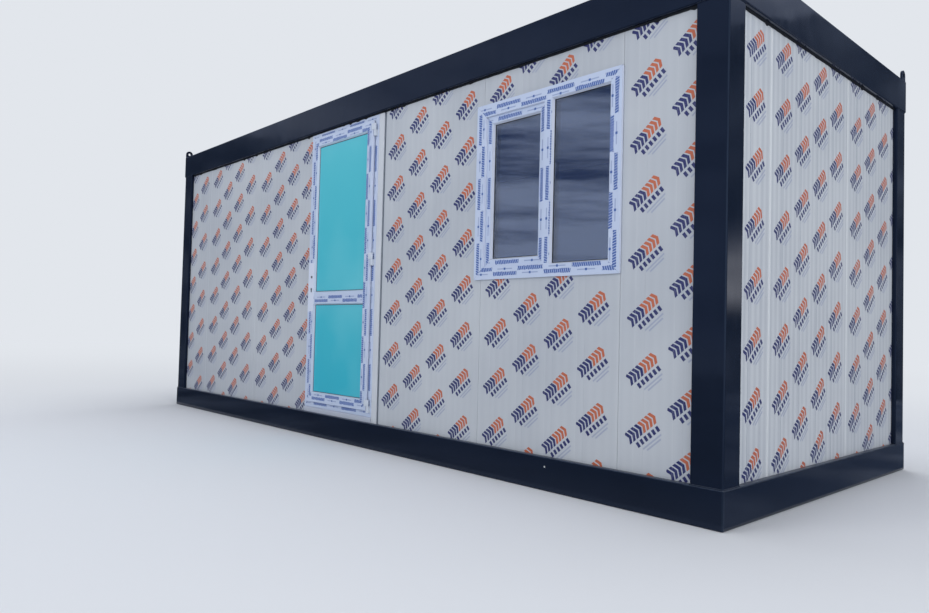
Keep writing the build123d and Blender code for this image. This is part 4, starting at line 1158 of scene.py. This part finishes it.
# %% Finishes on the nodes
FINISHES = {
    "floor_rail": enamel,
    "roof_rail": enamel,
    "corner_post": enamel,
    "lifting_eye": enamel,
    "floor_joists": zinc,
    "underfloor_sheet": zinc,
    "roof_purlins": zinc,
    "roof_sheet": zinc,
    "floor_board": board,
    "floor_covering": vinyl,
    "ceiling": ceiling_coat,
    "front_panel_1": front_left_film,
    "front_panel_2": front_left_film,
    "front_panel_3": front_left_film,
    "front_panel_4": front_right_film,
    "front_panel_5": front_right_film,
    "front_panel_6": front_right_film,
    "right_end_panel": right_end_film,
    "rear_wall_panels": rear_film,
    "left_wall_panels": left_end_film,
    "door_sill": aluminium,
    "door_frame": door_frame_film,
    "door_leaf": leaf_film,
    "door_panes": infill,
    "door_hinge": hinge_coat,
    "door_filler_strip": strip,
    "window_frame": window_film,
    "window_sash": sash_film,
}
GLAZED = ("window_sash_glass", "window_fixed_glass")
for name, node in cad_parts.items():
    if name in GLAZED:
        continue
    finish = next(finish for start, finish in FINISHES.items() if name.startswith(start))
    for material_slot in node.material_slots:
        material_slot.material = finish
print("finished nodes", len(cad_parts) - len(GLAZED))

# %% [markdown]
# ## New pieces in mesh code
# What the model leaves out is small: glass sheets, gaskets, welds, sealant, the lock's ironwork and screws.
# Each is built with bmesh from the places of the nodes it sits on. One helper turns a finished bmesh into an
# object, gives it its finish and lets it ride on a body, so that what belongs to the door swings with the
# door. Two more make the shapes that come back: a ring round a light, mitred at its corners, and a block.

# %% A piece from a bmesh
def add_piece(name, mesh, finish, body, smooth=False):
    """Makes an object of a bmesh, dressed and riding on a body."""
    bmesh.ops.recalc_face_normals(mesh, faces=mesh.faces)
    data = bpy.data.meshes.new(name)
    mesh.to_mesh(data)
    mesh.free()
    for polygon in data.polygons:
        polygon.use_smooth = smooth
    piece = bpy.data.objects.new(name, data)
    piece.data.materials.append(finish)
    bpy.context.scene.collection.objects.link(piece)
    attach(piece, body)
    print(name, "faces", len(data.polygons))
    return piece


def add_ring(mesh, edge, section):
    """A mitred ring: section holds (inset from the edge, y) points that go round the profile once."""
    left, right, bottom, top = edge
    loops = []
    for inset, y in section:
        corners = [
            (left + inset, y, bottom + inset),
            (right - inset, y, bottom + inset),
            (right - inset, y, top - inset),
            (left + inset, y, top - inset),
        ]
        loops.append([mesh.verts.new(corner) for corner in corners])
    for number, loop in enumerate(loops):
        following = loops[(number + 1) % len(loops)]
        for side in range(4):
            turn = (side + 1) % 4
            mesh.faces.new((loop[side], loop[turn], following[turn], following[side]))


def add_block(mesh, low, high, round_off):
    """A box between two corners, with its edges rounded off."""
    made = bmesh.ops.create_cube(mesh, size=1.0)["verts"]
    middle = (Vector(low) + Vector(high)) / 2
    size = Vector(high) - Vector(low)
    for vertex in made:
        vertex.co = Vector([middle[axis] + vertex.co[axis] * size[axis] for axis in range(3)])
    edges = {edge for vertex in made for edge in vertex.link_edges}
    bmesh.ops.bevel(mesh, geom=list(edges), offset=round_off, segments=2, affect="EDGES", profile=0.5)


print("nodes left to new pieces", GLAZED)

# %% [markdown]
# ## Double glazing
# The panes of the window are sealed units: two 4 mm sheets of float glass, held apart by a hollow
# aluminium bar that runs round the edge. From the side the bar shows twice, once straight and once in the
# second sheet, as the dark line inside the frame. A thin metal coat keeps the warmth in: it makes the glass
# mirror more than plain glass does, and bluish. The oven that toughens glass has rollers, which leave
# waves some 300 mm long, so the bump is wide and shallow.

# %% Glass, spacer and rubber finishes
GLASS_TINT = colour("#b3c4dc")
GLASS_MIRROR = colour("#b4c6ea")
ROLLER_WAVE_MM = 333.0
ROLLER_WAVE_DEPTH = 0.0008

glass, tree, place = new_finish("float_glass")
roller_wave = add_node(tree, "TexNoise", {"Vector": place, "Scale": 1000 / ROLLER_WAVE_MM, "Detail": 1.0})
bump = add_node(tree, "Bump", {"Height": roller_wave, "Strength": 0.2, "Distance": ROLLER_WAVE_DEPTH})
shader = add_node(tree, "BsdfPrincipled", {
    "Base Color": GLASS_TINT, "Roughness": 0.0, "IOR": 1.52, "Transmission Weight": 1.0, "Normal": bump,
    "Specular Tint": GLASS_MIRROR, "Coat Weight": 0.9, "Coat IOR": 2.0, "Coat Roughness": 0.0,
})
add_node(tree, "OutputMaterial", {"Surface": shader})

spacer_coat = plain_coat("spacer_aluminium", colour("#6d7684"), colour("#59616f"), 0.45)
# The rubber finish also paints the shade inside the lock's openings.
rubber_and_hole_shade = plain_coat("epdm_rubber_and_painted_hole_shade", colour("#262b33"), colour("#1b1f26"), 0.6)
# A grey lip that also paints the shade along the infills' edges.
grey_lip_and_shade_line = plain_coat("grey_sealing_lip_and_painted_shade", colour("#566170"), colour("#465060"), 0.5)
print("waves of the glass", ROLLER_WAVE_MM, "mm long")

# %% [markdown]
# ### Sealed units
# A single block of glass would bend what is behind it too much and show no bar. So each unit is two thin
# sheets with ground edges and a ring between them, in the place of the model's solid pane.

# %% Sealed units
SHEET = 0.004
EDGE_GRIND = 0.0006
SPACER_START = 0.004
SPACER_END = 0.0155
SPACER_CLEAR = 0.0002


def add_sealed_unit(node, body):
    """Two sheets and their spacer bar in the place of a solid pane."""
    low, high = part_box(node)
    mesh = bmesh.new()
    add_block(mesh, low, (high.x, low.y + SHEET, high.z), EDGE_GRIND)
    add_block(mesh, (low.x, high.y - SHEET, low.z), high, EDGE_GRIND)
    unit = add_piece(node + "_sheets", mesh, glass, body)
    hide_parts(node)
    mesh = bmesh.new()
    front, back = low.y + SHEET + SPACER_CLEAR, high.y - SHEET - SPACER_CLEAR
    section = [(SPACER_START, front), (SPACER_END, front), (SPACER_END, back), (SPACER_START, back)]
    add_ring(mesh, (low.x, high.x, low.z, high.z), section)
    add_piece(node + "_spacer", mesh, spacer_coat, body)


for node in GLAZED:
    add_sealed_unit(node, "cabin")

# %% [markdown]
# ### Gaskets
# A rubber gasket seals each pane against its bead. It is a thin lip that lies on the pane and shows as the
# line round every light, black on the glass and grey on the infills. The grey lip is made wider and darker
# than a plain seal, so that it also paints the shade along the infills' edges. Its section is a small
# rounded bar, swept round the light as a mitred ring.

# %% Gaskets on the glass and the infills
GASKET_COVER = 0.0116
GASKET_TUCK = 0.0005
GASKET_PROUD = 0.0024
GLASS_LIP = 0.0035
INFILL_LIP_AND_SHADE = 0.0045
LIP_SHOULDER = (0.0008, 0.0016)
LIP_TOP = 0.0022


def add_gasket(name, light, pane_front, pane_back, lip, finish, body):
    """Outer and inner lips round one light; light is the daylight rectangle."""
    mesh = bmesh.new()
    for face, outward in ((pane_front, -1), (pane_back, 1)):
        section = [
            (-GASKET_TUCK, face),
            (lip, face),
            (lip - LIP_SHOULDER[0], face + outward * LIP_SHOULDER[1]),
            (lip - LIP_TOP, face + outward * GASKET_PROUD),
            (-GASKET_TUCK, face + outward * GASKET_PROUD),
        ]
        add_ring(mesh, light, section)
    add_piece(name, mesh, finish, body)


def daylight(low, high, bottom=None, top=None):
    """The rectangle of a pane that its grooves leave free, between a bottom and a top if they are given."""
    return (
        low.x + GASKET_COVER,
        high.x - GASKET_COVER,
        low.z + GASKET_COVER if bottom is None else bottom,
        high.z - GASKET_COVER if top is None else top,
    )


for node in GLAZED:
    low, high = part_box(node)
    add_gasket(node + "_gasket", daylight(low, high), low.y, high.y, GLASS_LIP, rubber_and_hole_shade, "cabin")
low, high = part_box("door_panes")
lower_light = daylight(low, high, top=MID_RAIL[0])
upper_light = daylight(low, high, bottom=MID_RAIL[1])
# Painted shade: the widened grey lips stand for the shade at the infills' edges as well as the seal.
add_gasket("lower_infill_gasket", lower_light, low.y, high.y, INFILL_LIP_AND_SHADE, grey_lip_and_shade_line, "door")
add_gasket("upper_infill_gasket", upper_light, low.y, high.y, INFILL_LIP_AND_SHADE, grey_lip_and_shade_line, "door")

# %% [markdown]
# ## Welds
# The posts stand on the floor rails and carry the roof rails, and a weld runs round each end. The lifting
# eyes are welded to the roof rails in the same way. A welder lays the bead in short overlapping drops, so it
# is a tube whose radius rises and falls. A sweep of a curve gives a smooth tube, so the rings are made here
# one by one along the path.

# %% Beads along a path
WELD_RADIUS = 0.0028
WELD_SWELL = 0.14
WELD_STEP = 0.006
WELD_RHYTHM = 2.4
RING_SIDES = 6
STEEP = 0.9
UP = Vector((0, 0, 1))
ALONG_X = Vector((1, 0, 0))


def walk(path, step):
    """Points spaced evenly along a path of straight runs."""
    points = []
    for start, stop in zip(path, path[1:]):
        count = max(1, round((stop - start).length / step))
        points += [start.lerp(stop, number / count) for number in range(count)]
    return points + [path[-1]]


def add_oval(mesh, middle, half_width, half_height):
    """A ring of vertices round a point, as wide and as high as two vectors say."""
    turns = [math.tau * side / RING_SIDES for side in range(RING_SIDES)]
    return [
        mesh.verts.new(middle + math.cos(turn) * half_width + math.sin(turn) * half_height) for turn in turns
    ]


def join_rings(mesh, rings):
    """Skins a row of equal rings into a closed tube."""
    for ring, following in zip(rings, rings[1:]):
        for side in range(len(ring)):
            turn = (side + 1) % len(ring)
            mesh.faces.new((ring[side], ring[turn], following[turn], following[side]))
    mesh.faces.new(rings[0][::-1])
    mesh.faces.new(rings[-1])


def add_bead(mesh, path):
    """A weld along a path, whose radius swells and shrinks from ring to ring."""
    points = walk([Vector(point) for point in path], WELD_STEP)
    rings = []
    for number, point in enumerate(points):
        before = points[max(0, number - 1)]
        after = points[min(len(points) - 1, number + 1)]
        tangent = (after - before).normalized()
        sideways = tangent.cross(UP if abs(tangent.z) < STEEP else ALONG_X).normalized()
        upward = sideways.cross(tangent)
        radius = WELD_RADIUS * (1 + WELD_SWELL * math.sin(WELD_RHYTHM * number))
        rings.append(add_oval(mesh, point, radius * sideways, radius * upward))
    join_rings(mesh, rings)


print("weld drops", WELD_STEP * 1000, "mm apart")

# %% [markdown]
# ### Where the welds run
# A post's weld follows its two outer faces and the round fold between them, once at its foot and once at its
# head. An eye's weld goes round three sides of its plate. Both paths come from the nodes' boxes, so one loop
# serves every corner of the cabin.

# %% Welds of the posts and the eyes
POST_FOLD = 0.009
FOLD_STEPS = 4
WELD_LIFT = 0.0012
EYE_SETBACK = 0.005
EYE_LIFT = 0.0005


def post_path(low, high, level):
    """Along a post's outer faces and round the fold between them, at one height."""
    x_sign = 1 if low.x > 0 else -1
    y_sign = 1 if low.y > 0 else -1
    inner_x, outer_x = (low.x, high.x) if x_sign > 0 else (high.x, low.x)
    inner_y, outer_y = (low.y, high.y) if y_sign > 0 else (high.y, low.y)
    path = [(inner_x, outer_y, level)]
    for number in range(FOLD_STEPS + 1):
        turn = math.pi / 2 * (1 - number / FOLD_STEPS)
        path.append((
            outer_x - x_sign * POST_FOLD * (1 - math.cos(turn)),
            outer_y - y_sign * POST_FOLD * (1 - math.sin(turn)),
            level,
        ))
    return path + [(outer_x, inner_y, level)]


mesh = bmesh.new()
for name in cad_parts:
    if name.startswith("corner_post"):
        low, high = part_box(name)
        for level in (low.z + WELD_LIFT, high.z - WELD_LIFT):
            add_bead(mesh, post_path(low, high, level))
add_piece("post_welds", mesh, enamel, "cabin", smooth=True)

mesh = bmesh.new()
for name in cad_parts:
    if name.startswith("lifting_eye"):
        low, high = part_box(name)
        front_y, back_y = (low.y + EYE_SETBACK, high.y) if low.y < 0 else (high.y - EYE_SETBACK, low.y)
        corners = ((low.x, front_y), (low.x, back_y), (high.x, back_y), (high.x, front_y))
        add_bead(mesh, [(*corner, low.z + EYE_LIFT) for corner in corners])
add_piece("eye_welds", mesh, enamel, "cabin", smooth=True)

# %% [markdown]
# ## Sealant and painted shade under the rails
# Where the panels and the door's head meet the roof rail, a bead of dark sealant keeps the rain out. The bead
# is made deeper and darker than sealant alone, so that it also paints the shade that falls under the rail. It
# is pressed into the corner by hand, and where the gun was held too long the sealant spread down over the
# film. So it is a flattened tube half sunk in the corner, whose drop is drawn from a seeded random row:
# mostly even, with a few smears.

# %% Sealant and painted shade under the roof rails
SEALANT_AND_SHADE_RADIUS = 0.0085
SEALANT_AND_SHADE_DROP = 0.0080
SMEAR_DROP = 0.0220
SMEAR_SHARE = 0.14
SEALANT_STEP = 0.022
SEALANT_SINK = 0.001

# Painted shade: the near-black bead stands for the sealant and for the shade under the rail.
sealant_and_shade = plain_coat("dark_sealant_and_painted_shade", colour("#141920"), colour("#0e1218"), 0.8)
corner_low, corner_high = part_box("corner_post_front_right")
level = corner_high.z - SEALANT_SINK
long_end, end_end = corner_low.x, -corner_high.y
front_y = -(LONG_FACE + SEALANT_SINK)
end_x = END_FACE + SEALANT_SINK
head_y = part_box("door_frame")[0].y - SEALANT_SINK
door_left, door_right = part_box("door_frame")[0].x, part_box("door_filler_strip")[1].x
runs = [
    ((-long_end, front_y), (door_left, front_y)),
    ((door_right, front_y), (long_end, front_y)),
    ((-long_end, -front_y), (long_end, -front_y)),
    ((end_x, -end_end), (end_x, end_end)),
    ((-end_x, -end_end), (-end_x, end_end)),
    ((door_left, head_y), (door_right, head_y)),
]
chance = random.Random(7)
mesh = bmesh.new()
for start, stop in runs:
    points = walk([Vector((*start, level)), Vector((*stop, level))], SEALANT_STEP)
    sideways = (points[1] - points[0]).normalized().cross(UP)
    rings = []
    for point in points:
        drop = SEALANT_AND_SHADE_DROP * chance.uniform(0.9, 1.1)
        if chance.random() < SMEAR_SHARE:
            drop += (SMEAR_DROP - SEALANT_AND_SHADE_DROP) * chance.random() ** 2
        rings.append(add_oval(mesh, point, SEALANT_AND_SHADE_RADIUS * sideways, drop * UP))
    join_rings(mesh, rings)
add_piece("wall_sealant_and_painted_shade", mesh, sealant_and_shade, "cabin", smooth=True)

# %% [markdown]
# ## Lock, without its handle
# The cabin was photographed before its door handle was fitted. What shows on the stile is the lock's own
# ironwork: the round follower, whose square hole takes the handle's spindle, and below it the nose of the
# key cylinder. Both are turned and pressed steel, plated with nickel. Turning leaves fine lines, which are
# drawn a little over a millimetre wide and make the gloss uneven. Each outline is a ring of points that is
# drawn and extruded.

# %% Nickel and outlines
NICKEL = colour("#8d8f92")
TURNED_LINE_MM = 1.111

nickel, tree, place = new_finish("nickel_plated_lock_steel")
turned = add_node(tree, "TexNoise", {"Vector": place, "Scale": 1000 / TURNED_LINE_MM, "Detail": 1.0})
gloss = add_node(tree, "MapRange", {"Value": turned, "To Min": 0.25, "To Max": 0.42})
shader = add_node(tree, "BsdfPrincipled", {"Base Color": NICKEL, "Roughness": gloss, "Metallic": 1.0})
add_node(tree, "OutputMaterial", {"Surface": shader})


def arc(radius, count, start=0.0, stop=math.tau):
    """Points on an arc, from start up to stop."""
    turns = [start + (stop - start) * number / count for number in range(count)]
    return [(radius * math.cos(turn), radius * math.sin(turn)) for turn in turns]


def rectangle(half_width, low, high):
    """Corners of a rectangle, from its lower left round to its upper left."""
    return [(-half_width, low), (half_width, low), (half_width, high), (-half_width, high)]


def add_plate(mesh, place, outline, near, far):
    """A flat plate of one outline on the door's face, from y near to y far."""
    x, z = place
    front_loop = [mesh.verts.new((x + across, near, z + rise)) for across, rise in outline]
    back_loop = [mesh.verts.new((x + across, far, z + rise)) for across, rise in outline]
    mesh.faces.new(front_loop)
    mesh.faces.new(back_loop[::-1])
    for number in range(len(outline)):
        following = (number + 1) % len(outline)
        mesh.faces.new((
            front_loop[number], back_loop[number], back_loop[following], front_loop[following],
        ))


print("turned lines", TURNED_LINE_MM, "mm wide")

# %% [markdown]
# ### Follower and key cylinder
# The follower is a disc. The cylinder's nose is a keyhole: most of a circle above a narrower foot. The
# openings are painted shade: thin dark plates a hair in front of the metal, because a hole this small would
# show no depth.

# %% Follower and key cylinder
FOLLOWER_PLACE = (-0.430, 1.234)
FOLLOWER_RADIUS = 0.0105
SPINDLE_HALF = 0.004
CYLINDER_PLACE = (-0.430, 1.139)
NOSE_RADIUS = 0.0085
NOSE_FOOT_HALF = 0.005
NOSE_FOOT = (-0.0065, -0.024)
KEYWAY_HALF_WIDTH = 0.0009
KEYWAY_HALF_HEIGHT = 0.0045
LOCK_PROUD = 0.003
OPENING_PROUD = 0.0003

leaf_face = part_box("door_leaf")[0].y
lock_face = leaf_face - LOCK_PROUD
follower = arc(FOLLOWER_RADIUS, 28)
nose = arc(NOSE_RADIUS, 20, math.radians(-50), math.radians(230))
nose += [(-NOSE_FOOT_HALF, rise) for rise in NOSE_FOOT] + [(NOSE_FOOT_HALF, rise) for rise in NOSE_FOOT[::-1]]
mesh = bmesh.new()
add_plate(mesh, FOLLOWER_PLACE, follower, lock_face, leaf_face)
add_plate(mesh, CYLINDER_PLACE, nose, lock_face, leaf_face)
add_piece("lock_ironwork", mesh, nickel, "door")

spindle_hole = rectangle(SPINDLE_HALF, -SPINDLE_HALF, SPINDLE_HALF)
keyway = rectangle(KEYWAY_HALF_WIDTH, -KEYWAY_HALF_HEIGHT, KEYWAY_HALF_HEIGHT)
# Painted shade: dark plates stand for the shade inside the spindle hole and the keyway.
mesh = bmesh.new()
add_plate(mesh, FOLLOWER_PLACE, spindle_hole, lock_face - OPENING_PROUD, lock_face)
add_plate(mesh, CYLINDER_PLACE, keyway, lock_face - OPENING_PROUD, lock_face)
add_piece("lock_openings_painted_shade", mesh, rubber_and_hole_shade, "door")

# %% [markdown]
# ## Roof screws
# The roof sheet is fixed through the crests of its ribs into the purlins below. Each fixing is a hexagon
# screw over a cupped washer, so the rain can't follow the screw. One screw is three stacked rings: the
# washer's skirt, the flange and the hexagon. A row of the table holds a ring's radius at its foot and at its
# top, its height and its number of sides.

# %% Screws on the ribs
SCREW_PITCH = 0.300
SCREWS_A_RIB = 8
RIB_STEP = 1.0
SCREWED_RIBS = range(-2, 3)
SCREW_RINGS = (
    (0.0110, 0.0085, 0.0022, 16),
    (0.0065, 0.0060, 0.0012, 16),
    (0.0046, 0.0042, 0.0048, 6),
)

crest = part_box("roof_sheet")[1].z
mesh = bmesh.new()
for rib in SCREWED_RIBS:
    for number in range(SCREWS_A_RIB):
        spot = Vector((rib * RIB_STEP, (number - (SCREWS_A_RIB - 1) / 2) * SCREW_PITCH, crest))
        for radius, top_radius, height, sides in SCREW_RINGS:
            bmesh.ops.create_cone(
                mesh, cap_ends=True, segments=sides, radius1=radius, radius2=top_radius, depth=height,
                matrix=Matrix.Translation(spot + UP * height / 2),
            )
            spot = spot + UP * height
add_piece("roof_screws", mesh, zinc, "cabin")

# %% [markdown]
# ## The dressed size
# The last cell prints the size of the dressed model.

# %% Finish
low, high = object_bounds()
print("dressed size", [round(c, 3) for c in high - low])
